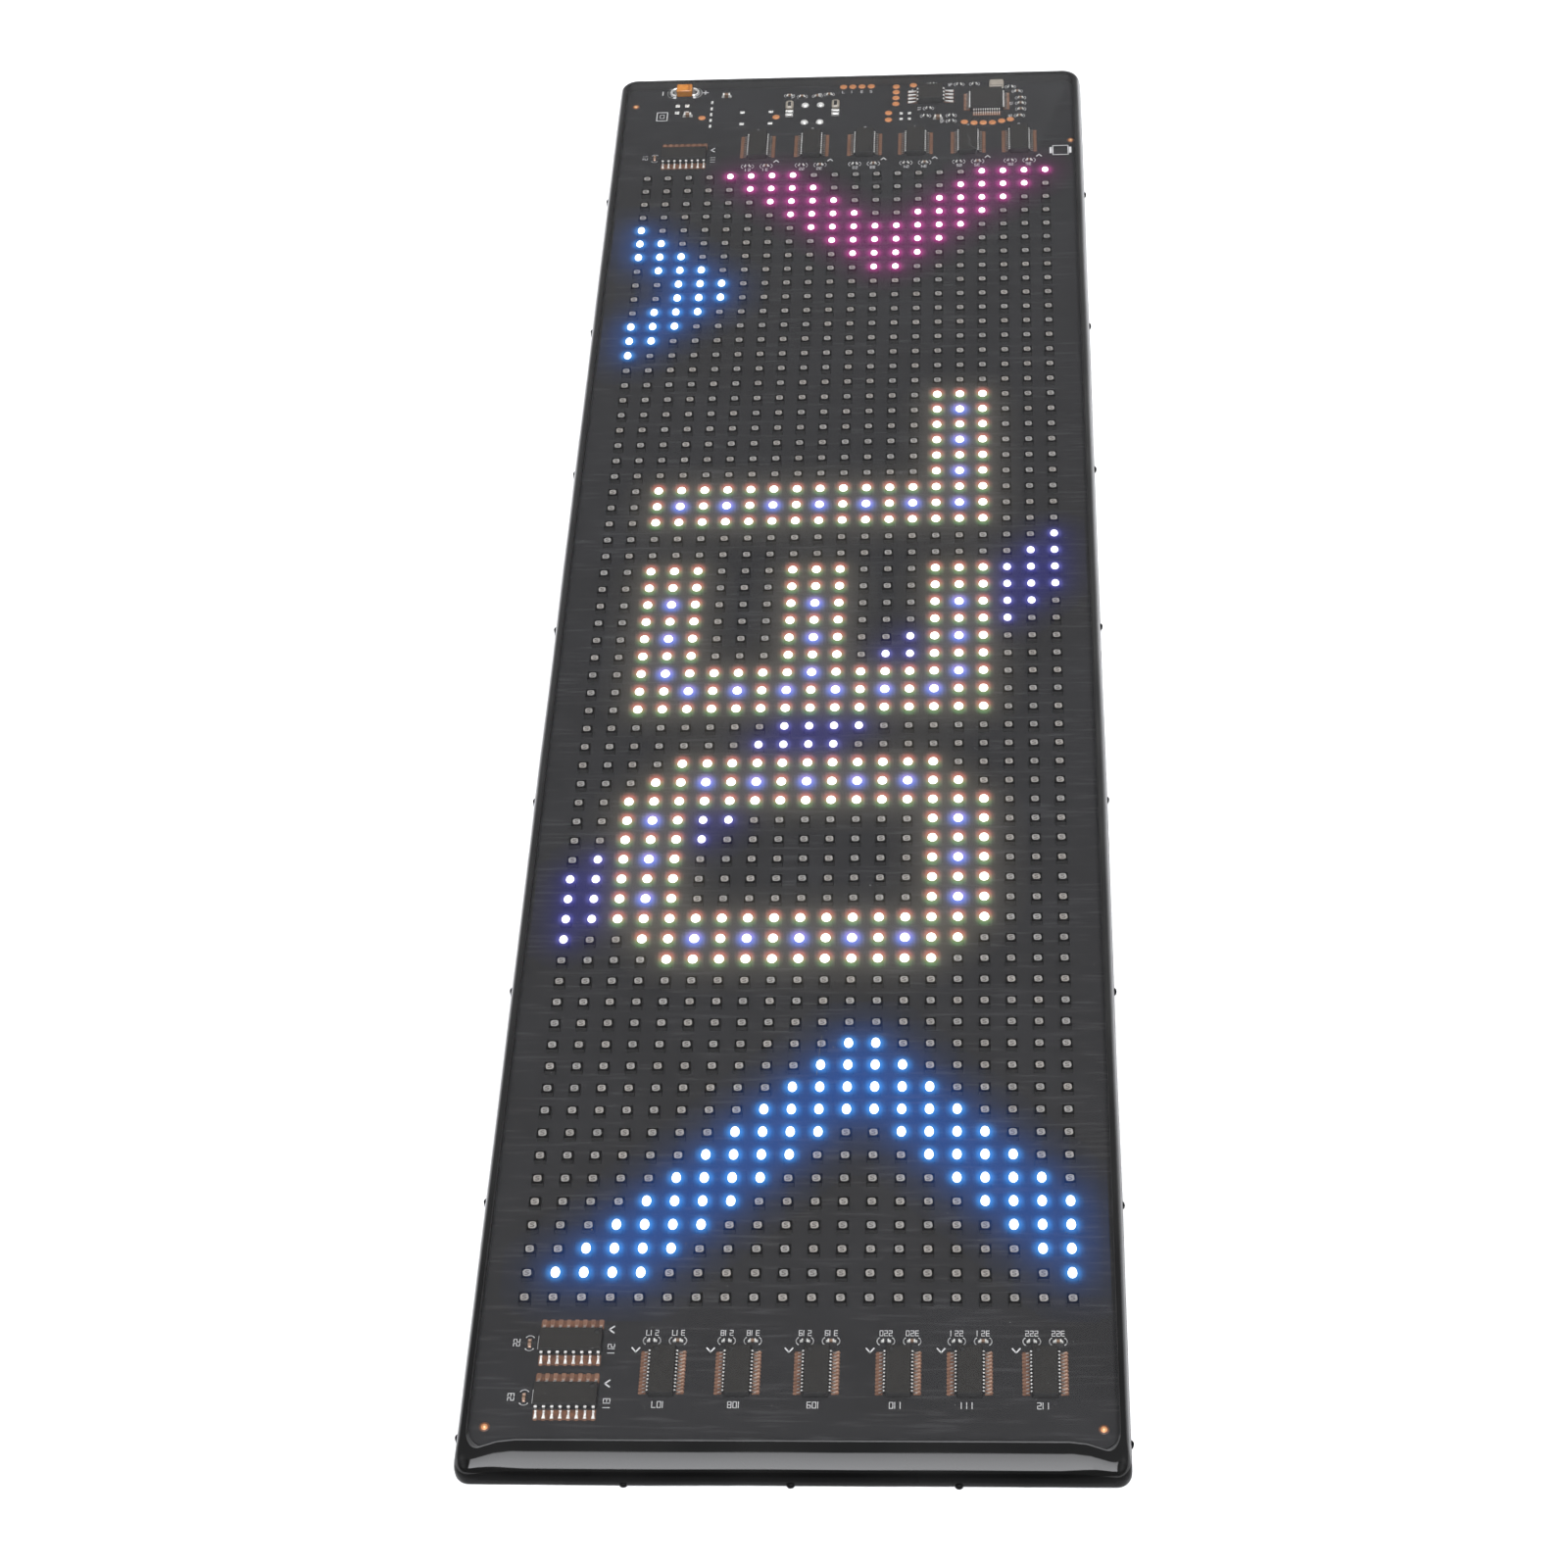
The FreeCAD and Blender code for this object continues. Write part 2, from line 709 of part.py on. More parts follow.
def make_blocks(label, spots, width, length, height):
    """Several equal blocks standing on the board."""
    body = new_body(label)
    sketch = new_sketch(body, f"{label}_outlines", "Layout.board_top")
    for across, along in spots:
        add_block(sketch, across, along, width, length)
    pad(body, f"{label}_blocks", sketch, height)
    return body


def make_discs(label, spots, radius, height):
    """Several equal round pieces flat on the board."""
    discs = []
    for number, (across, along) in enumerate(spots, 1):
        disc = doc.addObject("Part::Prism", f"{label}_{number}")
        disc.Polygon = DISC_FLATS
        disc.setExpression("Circumradius", radius)
        disc.setExpression("Height", height)
        disc.setExpression("Placement.Base.x", across)
        disc.setExpression("Placement.Base.y", along)
        disc.setExpression("Placement.Base.z", "Layout.board_top")
        discs.append(disc)
    group = doc.addObject("Part::Compound", label)
    group.Label = label
    group.Links = discs
    return group


def driver_parts(offset, sign):
    """Where each column driver has a small part: beside its middle, on the side of the LEDs."""
    spots = []
    for across, along in all_places("far_column_driver"):
        spots.append((f"{across} {sign} Places.{offset}", f"{along} - Places.far_driver_parts_along"))
    for across, along in all_places("near_column_driver"):
        spots.append((f"{across} {sign} Places.{offset}", f"{along} + Places.near_driver_parts_along"))
    return spots


def make_input_capacitor():
    """A tall block between two round solder ends, each cut flat where the block stands."""
    body = new_body("input_capacitor")
    across, along = point_terms("input", 1)
    ends = new_sketch(body, "solder_ends", "Layout.board_top")
    for sign in ("-", "+"):
        middle = f"{across} {sign} Sizes.input_body_length / 2"
        add_round(ends, middle, along, "Sizes.input_terminal_radius", DISC_FLATS)
    pad(body, "ends", ends, "Sizes.input_terminal_height")
    block = new_sketch(body, "block_outline", "Layout.board_top")
    add_block(block, across, along, "Sizes.input_body_length", "Sizes.input_body_width")
    pad(body, "block", block, "Sizes.input_body_height")
    return body


def make_small_parts():
    small = ("Sizes.small_length", "Sizes.small_width", "Sizes.small_height")
    upright = ("Sizes.small_width", "Sizes.small_length", "Sizes.small_height")
    medium = ("Sizes.medium_length", "Sizes.medium_width", "Sizes.medium_height")
    return [
        make_blocks("driver_resistors", driver_parts("driver_resistor_across", "-"), *small),
        make_blocks("driver_capacitors", driver_parts("driver_capacitor_across", "+"), *small),
        make_blocks("row_capacitors", all_places("far_row_capacitor", "near_row_capacitor"), *upright),
        make_blocks("controller_capacitors", all_places("decoupler"), *small),
        make_blocks("controller_resistors", all_places("resistor"), *small),
        make_blocks("supply_capacitors", all_places("medium"), *medium),
        make_blocks(
            "supply_fuses", all_places("fuse"),
            "Sizes.fuse_width", "Sizes.fuse_length", "Sizes.fuse_height",
        ),
        make_blocks(
            "crystal", all_places("crystal"),
            "Sizes.crystal_length", "Sizes.crystal_width", "Sizes.crystal_height",
        ),
        make_input_capacitor(),
        make_discs("test_pads", all_places("pad"), "Sizes.pad_radius", "Sizes.pad_thickness"),
        make_discs(
            "fiducial_marks", corner_marks(), "Sizes.fiducial_radius", "Sizes.pad_thickness"
        ),
        make_discs("supply_joints", all_places("joint"), "Sizes.joint_radius", "Sizes.joint_height"),
    ]


nodes = [make_backing(), make_board(), make_coat()]
doc.recompute()
blocks = math.ceil(size("led_rows") / size("rows_in_block"))
nodes += [make_led_block(number) for number in range(1, blocks + 1)]
nodes += make_chips()
nodes += make_small_parts()
doc.recompute()

# Nothing is written unless every object and every piece is sound

for item in doc.Objects:
    if {"Invalid", "Error"} & set(item.State):
        raise RuntimeError(f"{item.Label}: {item.State}")
for node in nodes:
    if node.Shape.isNull() or not node.Shape.isValid() or node.Shape.Volume <= 0:
        raise RuntimeError(f"{node.Label}: its shape is not a sound solid")

os.makedirs("parts", exist_ok=True)
for node in nodes:
    node.Shape.exportStep(f"parts/{node.Label}.step")
print(len(nodes), "pieces,", sum(len(node.Shape.Solids) for node in nodes), "solids")
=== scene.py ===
"""A soft flat LED sign panel: its looks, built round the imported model. Sizes are in millimetres."""

import math
import random

import bpy
from mathutils import Matrix, Vector, noise


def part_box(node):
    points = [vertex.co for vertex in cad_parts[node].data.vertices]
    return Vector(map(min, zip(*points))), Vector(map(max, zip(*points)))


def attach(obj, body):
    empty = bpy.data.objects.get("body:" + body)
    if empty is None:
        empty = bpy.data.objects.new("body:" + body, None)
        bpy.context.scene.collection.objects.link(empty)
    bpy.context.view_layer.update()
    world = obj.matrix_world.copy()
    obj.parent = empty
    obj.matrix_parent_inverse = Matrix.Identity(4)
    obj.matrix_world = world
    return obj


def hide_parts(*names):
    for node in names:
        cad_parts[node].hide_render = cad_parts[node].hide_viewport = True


MM = 0.001
TAU = 2 * math.pi

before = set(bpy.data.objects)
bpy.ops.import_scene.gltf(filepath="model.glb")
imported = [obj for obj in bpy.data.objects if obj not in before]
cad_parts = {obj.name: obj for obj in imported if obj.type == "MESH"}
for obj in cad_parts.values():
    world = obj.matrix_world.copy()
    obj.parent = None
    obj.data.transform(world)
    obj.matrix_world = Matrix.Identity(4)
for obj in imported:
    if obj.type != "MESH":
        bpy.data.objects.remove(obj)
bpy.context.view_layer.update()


def node_box(node):
    """The lowest and highest corners of a CAD node, in millimetres."""
    low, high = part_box(node)
    return [value / MM for value in low], [value / MM for value in high]


def node_middle(node):
    low, high = node_box(node)
    return (low[0] + high[0]) / 2, (low[1] + high[1]) / 2


def islands(node):
    """The boxes of the separate solids of a CAD node, as (middle x, middle y, width, length, height)."""
    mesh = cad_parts[node].data
    group = list(range(len(mesh.vertices)))

    def top(point):
        while group[point] != point:
            group[point] = group[group[point]]
            point = group[point]
        return point

    same = {}
    for vertex in mesh.vertices:
        key = tuple(round(value, 6) for value in vertex.co)
        group[top(vertex.index)] = top(same.setdefault(key, vertex.index))
    for edge in mesh.edges:
        group[top(edge.vertices[0])] = top(edge.vertices[1])
    solids = {}
    for vertex in mesh.vertices:
        solids.setdefault(top(vertex.index), []).append(vertex.co / MM)
    boxes = []
    for points in solids.values():
        low = [min(point[axis] for point in points) for axis in range(3)]
        high = [max(point[axis] for point in points) for axis in range(3)]
        middle = [(low[axis] + high[axis]) / 2 for axis in range(2)]
        boxes.append((*middle, high[0] - low[0], high[1] - low[1], high[2] - low[2]))
    return sorted(boxes)


# Sizes that come from the frame

BACK_HIGH = node_box("moulded_backing")[1]
BOARD_LOW, BOARD_HIGH = node_box("flex_board")
FIRST_LOW, FIRST_HIGH = node_box("led_block_1")
BOARD_TOP = BOARD_HIGH[2]
SURFACE = BACK_HIGH[2]
LED_TOP = FIRST_HIGH[2]

COLUMNS, ROWS, BLOCK_ROWS = 20, 64, 8
LED_SIDE = 2.0
FIELD_LEFT = FIRST_LOW[0] + LED_SIDE / 2
PITCH = (FIRST_HIGH[0] - FIRST_LOW[0] - LED_SIDE) / (COLUMNS - 1)
FIRST_ROW = FIRST_HIGH[1] - LED_SIDE / 2

# Sizes of the moulding that the frame's boxes don't give
NUB_REACH = 0.35
STRAIGHT_WALL = 1.0
CORNER, NEAR_FOOT, NEAR_CORNER, FAR_CORNER = 3.1, 2.3, 2.9, 3.1
NEAR_ROLL, EDGE_ROLL = 4.8, 1.2
LIP = 0.4
HALF_WIDTH = BACK_HIGH[0] - NUB_REACH
HALF_LENGTH = BACK_HIGH[1] - NUB_REACH


def led_place(row, column):
    return FIELD_LEFT + column * PITCH, FIRST_ROW - row * PITCH


# Materials

def rgba(colour):
    """A colour from its three parts, or from one level of grey."""
    return (*colour, 1.0) if isinstance(colour, (tuple, list)) else (colour, colour, colour, 1.0)


class Graph:
    """The nodes of a material or of the world. A node given as an input stands for its first output."""

    def __init__(self, owner, kind="Material"):
        owner.use_nodes = True
        self.owner, self.tree = owner, owner.node_tree
        self.tree.nodes.clear()
        self.output = self.add("Output" + kind)

    def add(self, kind, inputs=None, **settings):
        """A new node. Each of its inputs takes a value, a socket or a node."""
        node = self.tree.nodes.new("ShaderNode" + kind)
        for name, value in settings.items():
            setattr(node, name, value)
        for name, value in (inputs or {}).items():
            if isinstance(value, bpy.types.Node):
                value = value.outputs[0]
            if isinstance(value, bpy.types.NodeSocket):
                self.tree.links.new(value, node.inputs[name])
            else:
                node.inputs[name].default_value = value
        return node

    def show(self, shader):
        """Makes a shader the surface, and gives back the material or the world."""
        self.tree.links.new(shader.outputs[0], self.output.inputs["Surface"])
        return self.owner

    def noise(self, scale, detail=3.0, stretch=(1, 1, 1)):
        """Noise over the row frame. The scale is in features to a metre."""
        where = self.add("TexCoord").outputs["Object"]
        mapping = self.add("Mapping", {"Vector": where, "Scale": stretch})
        return self.add("TexNoise", {"Vector": mapping, "Scale": scale, "Detail": detail})

    def ramp(self, factor, stops):
        ramp = self.add("ValToRGB", {"Fac": factor})
        elements = ramp.color_ramp.elements
        while len(elements) < len(stops):
            elements.new(0.5)
        for element, (position, colour) in zip(elements, stops):
            element.position = position
            element.color = rgba(colour)
        return ramp

    def multiply(self, first, second):
        """The product of two colours."""
        inputs = {"Factor": 1.0, "A": first, "B": second}
        return self.add("Mix", inputs, data_type="RGBA", blend_type="MULTIPLY").outputs["Result"]

    def relief(self, scale, detail, strength, depth):
        """Bumps made of noise. The depth is in millimetres."""
        height = self.noise(scale, detail)
        return self.add("Bump", {"Height": height, "Strength": strength, "Distance": depth * MM})

    def over_clear(self, share, shader):
        """A shader over plain transparency, by its share."""
        clear = self.add("BsdfTransparent")
        return self.add("MixShader", {"Fac": share, 1: clear, 2: shader})


def new_graph(name):
    return Graph(bpy.data.materials.new(name))


def finish(name, low, high, rough, scale=900, metallic=0.0, bump=0.0, bump_scale=2500, specular=0.5,
           tone_and_painted_light=None):
    """A surface whose colour and roughness wander between two values, with a fine bump."""
    graph = new_graph(name)
    texture = graph.noise(scale)
    colour = graph.ramp(texture, [(0.35, low), (0.65, high)])
    # The colour is multiplied by a point attribute: a random tone on the LED windows, and painted light on
    # the moulding.
    if tone_and_painted_light:
        colour = graph.multiply(colour, graph.add("Attribute", attribute_name=tone_and_painted_light))
    inputs = {
        "Base Color": colour, "Metallic": metallic, "Specular IOR Level": specular,
        "Roughness": graph.ramp(texture, [(0.3, rough[0]), (0.7, rough[1])]),
    }
    if bump:
        inputs["Normal"] = graph.relief(bump_scale, 2.0, bump, 0.02)
    return graph.show(graph.add("BsdfPrincipled", inputs))


def cover_film():
    """Black cover film over the tracks, which show through it as faint ribs across the board."""
    graph = new_graph("cover_film")
    cloud, tracks = graph.noise(60, 4.0), graph.noise(110, 3.0, (1, 15, 1))
    base = graph.ramp(cloud, [(0.3, (0.0211, 0.0209, 0.0213)), (0.7, (0.0247, 0.0248, 0.0259))])
    ribs = graph.ramp(tracks, [(0.54, 0.95), (0.7, 1.6)])
    inputs = {"Base Color": graph.multiply(base, ribs), "Roughness": 0.75, "Specular IOR Level": 0.1}
    return graph.show(graph.add("BsdfPrincipled", inputs))


def gel_surface():
    """The top of the clear filling: it lets light through and reflects a little, more at a low angle."""
    graph = new_graph("gel_surface")
    gloss = graph.add("BsdfGlossy", {"Roughness": 0.17, "Normal": graph.relief(22, 1.0, 0.25, 0.2)})
    return graph.show(graph.over_clear(graph.add("Fresnel", {"IOR": 1.41}), gloss))


def gel_inside():
    """The sides and the underside of the filling, which lie on the tray and the board."""
    graph = new_graph("gel_inside")
    return graph.show(graph.add("BsdfTransparent"))


def glow_material():
    """Light that spreads in the filling round the lit LEDs."""
    graph = new_graph("glow_in_gel")
    colour = graph.add("VertexColor", layer_name="glow")
    return graph.show(graph.over_clear(colour.outputs["Alpha"], graph.add("Emission", {"Color": colour})))


def light_material(name, colour, strength):
    graph = new_graph(name)
    return graph.show(graph.add("BsdfPrincipled", {
        "Base Color": rgba(0.4), "Roughness": 0.4, "Emission Color": rgba(colour),
        "Emission Strength": strength,
    }))


# Each surface: its name, two colours, two roughnesses, and the scale of its mottle where it matters
# Painted light: the moulding's colour is multiplied by an attribute that makes it lighter towards the far
# end, and lighter still along the far edge.
MOULDING = finish(
    "glossy_black_moulding", 0.0055, (0.008, 0.008, 0.0078), (0.05, 0.12), 70,
    bump=0.08, bump_scale=900, specular=0.26, tone_and_painted_light="tone_and_painted_light",
)
MOULDING_FOOT = finish("satin_black_foot", 0.003, 0.005, (0.2, 0.3), 70, specular=0.04)
# Painted light: the inner wall of the black tray is painted a much lighter grey than the moulding, as if lit.
TRAY_INSIDE = finish("tray_inside", 0.068, 0.078, (0.6, 0.7), 70, specular=0.1)
COVER_FILM = cover_film()
GEL_SURFACE = gel_surface()
GEL_INSIDE = gel_inside()
# Painted highlight: the clear gel's bevelled edge is opaque. It is lighter along the near end, where a
# reflection is painted, and a dim grey elsewhere.
GEL_EDGE = finish("gel_edge_painted_highlight", 0.045, 0.062, (0.3, 0.4), 300, specular=0.1)
GEL_SIDE = finish("side_of_the_gel", 0.02, 0.024, (0.5, 0.6), 300, specular=0.1)
LED_BODY = finish("led_black_body", 0.001, 0.002, (0.5, 0.7), specular=0.1)
# Painted light: the lower part of each black LED body's sides is painted a lighter grey. It looks as bright
# as the board, though it gets less light.
LED_FOOT = finish("led_foot_painted_light", 0.045, 0.058, (0.6, 0.8), specular=0.1)
LED_LENS = finish(
    "led_milky_window", (0.228, 0.218, 0.204), (0.3, 0.288, 0.27), (0.3, 0.45), 2600, tone_and_painted_light="tone_and_painted_light"
)
LED_DETAIL = finish("led_dies_and_wires", (0.088, 0.081, 0.073), (0.115, 0.107, 0.098), (0.3, 0.5))
CHIP = finish(
    "chip_black_epoxy", (0.0232, 0.022, 0.0204), (0.0286, 0.0274, 0.0257), (0.6, 0.75), 1500,
    bump=0.2, bump_scale=6000, specular=0.1,
)
# Painted light: the chip's sloping sides are painted about twice as light as its top, so that they look lit
# though they get less light.
CHIP_SIDE = finish("chip_side_painted_light", 0.045, 0.058, (0.6, 0.75), specular=0.1)
CHIP_MARK = finish("chip_dimple", 0.024, 0.03, (0.4, 0.5), specular=0.2)
LEAD = finish("tinned_lead", (0.3, 0.29, 0.28), (0.4, 0.39, 0.37), (0.3, 0.45), metallic=0.8)
SOLDER = finish(
    "bright_solder", (0.6, 0.6, 0.57), (0.76, 0.76, 0.73), (0.2, 0.35), 1800, metallic=0.35,
    bump=0.25, bump_scale=3500,
)
# Painted highlight: the small bright blocks at the bends of the leads. The memory chip's solder takes the
# same tin colour.
TIN_AND_HIGHLIGHT = finish("tin_and_painted_highlight", (0.54, 0.54, 0.52), (0.68, 0.68, 0.66), (0.3, 0.45), metallic=0.2)
DULL_SOLDER = finish("dull_solder", (0.12, 0.06, 0.038), (0.19, 0.1, 0.066), (0.4, 0.55), metallic=0.2)
TAN_SOLDER = finish("tan_solder", (0.3, 0.19, 0.135), (0.46, 0.32, 0.245), (0.3, 0.45), metallic=0.2)
PAD_METAL = finish("dull_pad", (0.13, 0.066, 0.04), (0.21, 0.112, 0.07), (0.4, 0.55), metallic=0.2)
AMBER = finish("amber_base_film", (0.06, 0.024, 0.012), (0.125, 0.05, 0.022), (0.5, 0.65), 1500)
COPPER = finish("bare_copper", (0.62, 0.25, 0.1), (0.78, 0.36, 0.16), (0.3, 0.45), 1800, metallic=0.5)
# A paler copper, for the raised middle of each corner mark.
PALE_COPPER = finish("pale_copper_middle", (0.85, 0.6, 0.3), (0.95, 0.72, 0.4), (0.3, 0.4), metallic=0.3)
INK = finish("white_ink", 0.44, 0.56, (0.5, 0.65), 3000)
ORANGE = finish("orange_case", (0.42, 0.15, 0.02), (0.52, 0.21, 0.035), (0.35, 0.5), 1300)
ORANGE_BAND = finish("orange_case_stripe", (0.3, 0.1, 0.015), (0.36, 0.13, 0.02), (0.35, 0.5))
RESISTOR = finish("resistor_body", 0.008, 0.014, (0.3, 0.45))
CAPACITOR = finish("capacitor_body", (0.12, 0.07, 0.04), (0.17, 0.105, 0.065), (0.4, 0.55))
CRYSTAL = finish("crystal_case", (0.24, 0.215, 0.175), (0.3, 0.27, 0.225), (0.3, 0.45))
DUST = finish("dust", 0.055, 0.12, (0.7, 0.9), 4000)
GLOW = glow_material()
LIGHTS = {
    "pink": light_material("lit_pink", (1.0, 0.93, 0.98), 2.2),
    "blue": light_material("lit_blue", (0.88, 0.98, 1.0), 2.4),
    "warm": light_material("lit_warm_white", (1.0, 0.99, 0.93), 2.4),
    "cold": light_material("lit_cold_white", (0.97, 0.97, 1.0), 2.4),
    "violet": light_material("lit_violet", (0.82, 0.78, 1.0), 2.0),
}


def paint(piece, name, values):
    """Gives each point of a piece its own colour, from one long row of red, green, blue and alpha."""
    piece.data.color_attributes.new(name, "FLOAT_COLOR", "POINT").data.foreach_set("color", values)


# Shapes

class Shape:
    """Points in millimetres, and faces with the number of their material."""

    def __init__(self):
        self.points = []
        self.faces = []
        self.slots = []

    def add(self, points, faces, slot=0):
        start = len(self.points)
        self.points.extend(tuple(point) for point in points)
        self.faces.extend([start + corner for corner in face] for face in faces)
        self.slots.extend([slot] * len(faces))

    def copy(self, other, x=0.0, y=0.0, z=0.0, turn=0.0):
        cosine, sine = math.cos(turn), math.sin(turn)
        start = len(self.points)
        self.points.extend(
            (px * cosine - py * sine + x, px * sine + py * cosine + y, pz + z) for px, py, pz in other.points
        )
        self.faces.extend([start + corner for corner in face] for face in other.faces)
        self.slots.extend(other.slots)

    def piece(self, name, materials, replaces=(), slot=None, smooth_below=35.0):
        """The finished Blender object, which rides on the one body."""
        mesh = bpy.data.meshes.new(name)
        mesh.from_pydata([(x * MM, y * MM, z * MM) for x, y, z in self.points], [], self.faces)
        for material in materials:
            mesh.materials.append(material)
        mesh.polygons.foreach_set("material_index", self.slots)
        mesh.polygons.foreach_set("use_smooth", [True] * len(self.faces))
        mesh.validate()
        mesh.update()
        mesh.set_sharp_from_angle(angle=math.radians(smooth_below))
        item = bpy.data.objects.new(name, mesh)
        bpy.context.scene.collection.objects.link(item)
        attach(item, "root")
        if replaces:
            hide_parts(*replaces)
        return item


def ring(width, length, corner, z, steps=2, x=0.0, y=0.0):
    """A rounded rectangle of points, anticlockwise from above."""
    points = []
    for quarter, (sx, sy) in enumerate(((1, -1), (1, 1), (-1, 1), (-1, -1))):
        cx, cy = sx * (width / 2 - corner), sy * (length / 2 - corner)
        for step in range(steps + 1):
            turn = math.radians(-90 + 90 * quarter + 90 * step / steps)
            points.append((x + cx + corner * math.cos(turn), y + cy + corner * math.sin(turn), z))
    return points


def circle(radius, z, count, x=0.0, y=0.0):
    return [
        (x + radius * math.cos(TAU * place / count), y + radius * math.sin(TAU * place / count), z)
        for place in range(count)
    ]


def loft(shape, rings, slot=0, bottom=True, top=True):
    """Joins rings of equally many points, from the bottom up, and closes the ends."""
    count = len(rings[0])
    faces = []
    for level in range(len(rings) - 1):
        base = level * count
        for place in range(count):
            after = (place + 1) % count
            faces.append((base + place, base + after, base + count + after, base + count + place))
    last = count * (len(rings) - 1)
    if bottom:
        faces.append(tuple(range(count - 1, -1, -1)))
    if top:
        faces.append(tuple(range(last, last + count)))
    shape.add([point for one in rings for point in one], faces, slot)


def bridge(shape, outer, inner, middle):
    """Fills the flat band between an outer and an inner loop, both anticlockwise round the middle."""
    first = math.atan2(outer[0][1] - middle[1], outer[0][0] - middle[0])

    def after(point):
        turn = math.atan2(point[1] - middle[1], point[0] - middle[0]) - first
        return (turn + 1e-9) % TAU

    inner = sorted(inner, key=after)
    outer_turns = [after(point) for point in outer] + [TAU]
    inner_turns = [after(point) for point in inner]
    inner_turns.append(inner_turns[0] + TAU)
    faces = []
    out_count, in_count = len(outer), len(inner)
    here, there = 0, 0
    while here < out_count or there < in_count:
        if here < out_count and (there == in_count or outer_turns[here + 1] <= inner_turns[there + 1]):
            faces.append((here % out_count, (here + 1) % out_count, out_count + there % in_count))
            here += 1
        else:
            faces.append((here % out_count, out_count + (there + 1) % in_count, out_count + there % in_count))
            there += 1
    shape.add(outer + inner, faces)


def recess(shape, edge, sunk, slot):
    """The wall of a sunk place, which faces inwards, and its floor."""
    loft(shape, [sunk, edge], 0, bottom=False, top=False)
    shape.faces[-len(edge):] = [face[::-1] for face in shape.faces[-len(edge):]]
    loft(shape, [sunk], slot, bottom=False)


def block(shape, x, y, width, length, low, high, bevel=0.05, slot=0):
    """A box with bevelled upright and upper edges."""
    loft(shape, [
        ring(width, length, bevel, low, 1, x, y),
        ring(width, length, bevel, high - bevel, 1, x, y),
        ring(width - 2 * bevel, length - 2 * bevel, bevel / 2, high, 1, x, y),
    ], slot)


def seat(shape, x, y, width, length, low, high, bevel, slot=0):
    """A block on the board. Its heights count from the board."""
    block(shape, x, y, width, length, BOARD_TOP + low, BOARD_TOP + high, bevel, slot)


def disc(shape, x, y, levels, count, slot=0):
    """A round stack on the board. Each level is a radius and a height from the board."""
    loft(shape, [circle(radius, BOARD_TOP + up, count, x, y) for radius, up in levels], slot)


def bar(start, end, width, over=1):
    """The corners of a flat bar between two points, which passes them by half its width, or by none."""
    (x0, y0), (x1, y1) = start, end
    length = math.hypot(x1 - x0, y1 - y0)
    dx, dy = (x1 - x0) / length * width / 2, (y1 - y0) / length * width / 2
    ex, ey = dx * over, dy * over
    return [
        (x0 - ex + dy, y0 - ey - dx), (x1 + ex + dy, y1 + ey - dx),
        (x1 + ex - dy, y1 + ey + dx), (x0 - ex - dy, y0 - ey + dx),
    ]


def stroke(shape, points, width, low, high):
    """A flat line of ink or metal through points, one thin bar a stretch."""
    for ends in zip(points, points[1:]):
        corners = bar(*ends, width)
        loft(shape, [[(*corner, z) for corner in corners] for z in (low, high)])


def arc(x, y, radius, start, end, steps):
    """Points along an arc, with its ends in degrees."""
    turns = [math.radians(start + (end - start) * step / steps) for step in range(steps + 1)]
    return [(x + radius * math.cos(turn), y + radius * math.sin(turn)) for turn in turns]


# The black moulding

CORNER_STEPS, LONG_STEPS, SHORT_STEPS, ROLL_STEPS = 12, 70, 36, 22
FOOT_RINGS = 13
EASE_START, EASE_SPAN = 0.83, 0.15  # where the near edge starts to run out, as shares of half the width
WALL_SWAY, ROLL_SWAY = 0.12, 0.1
NUB_RADIUS, NUB_SINK, LOW_NUB, TALL_NUB = 0.7, 0.4, 0.8, 1.7
SIDE_NUBS, FIRST_NUB, LAST_NUB = 8, 7.2 - HALF_LENGTH, HALF_LENGTH - 40.4
END_NUB_STEP = HALF_WIDTH - 25.8


def outline(inset_edge, inset_near, near_radius, far_radius, z, sway=0.0, ease=0.0):
    """One ring of the moulding, with straight sides cut into many short ones and swaying a little."""
    side = HALF_WIDTH - inset_edge
    near, far = inset_near - HALF_LENGTH, HALF_LENGTH - inset_edge
    corners = [
        (side - near_radius, near + near_radius, near_radius, -90, LONG_STEPS),
        (side - far_radius, far - far_radius, far_radius, 0, SHORT_STEPS),
        (far_radius - side, far - far_radius, far_radius, 90, LONG_STEPS),
        (near_radius - side, near + near_radius, near_radius, 180, SHORT_STEPS),
    ]
    points = []
    for number, (x, y, radius, start, steps) in enumerate(corners):
        bend = arc(x, y, radius, start, start + 90, CORNER_STEPS)
        after_x, after_y, after_radius, after_start, _ = corners[(number + 1) % 4]
        target = arc(after_x, after_y, after_radius, after_start, after_start + 90, 1)[0]
        end = bend[-1]
        points += bend
        for step in range(1, steps):
            share = step / steps
            points.append((end[0] + (target[0] - end[0]) * share, end[1] + (target[1] - end[1]) * share))
    ringed = []
    for x, y in points:
        if ease and y < near + near_radius:
            away = min(max((abs(x) - EASE_START * HALF_WIDTH) / (EASE_SPAN * HALF_WIDTH), 0.0), 1.0)
            y -= ease * away * away * (3 - 2 * away) * min((near + near_radius - y) / near_radius, 1.0)
        drift = sway * noise.noise(Vector((x / 23, y / 23, 1.7)))
        lift = 0.25 * sway * noise.noise(Vector((x / 9, y / 9, 5.1)))
        out = Vector((x / HALF_WIDTH, y / HALF_LENGTH)).normalized()
        ringed.append((x + out.x * drift, y + out.y * drift, z + lift))
    return ringed


def corner_ease(inset):
    """How far the near rings run out towards the near corners."""
    return NEAR_ROLL * inset * (0.4 + 0.5 * (1 - inset))


def mouth(inset, z):
    """One ring of the mouth of the tray, inside its lip."""
    return outline(
        EDGE_ROLL + LIP + inset, NEAR_ROLL + LIP + inset, NEAR_CORNER - LIP - inset,
        FAR_CORNER - LIP - inset, z, ease=corner_ease(1),
    )


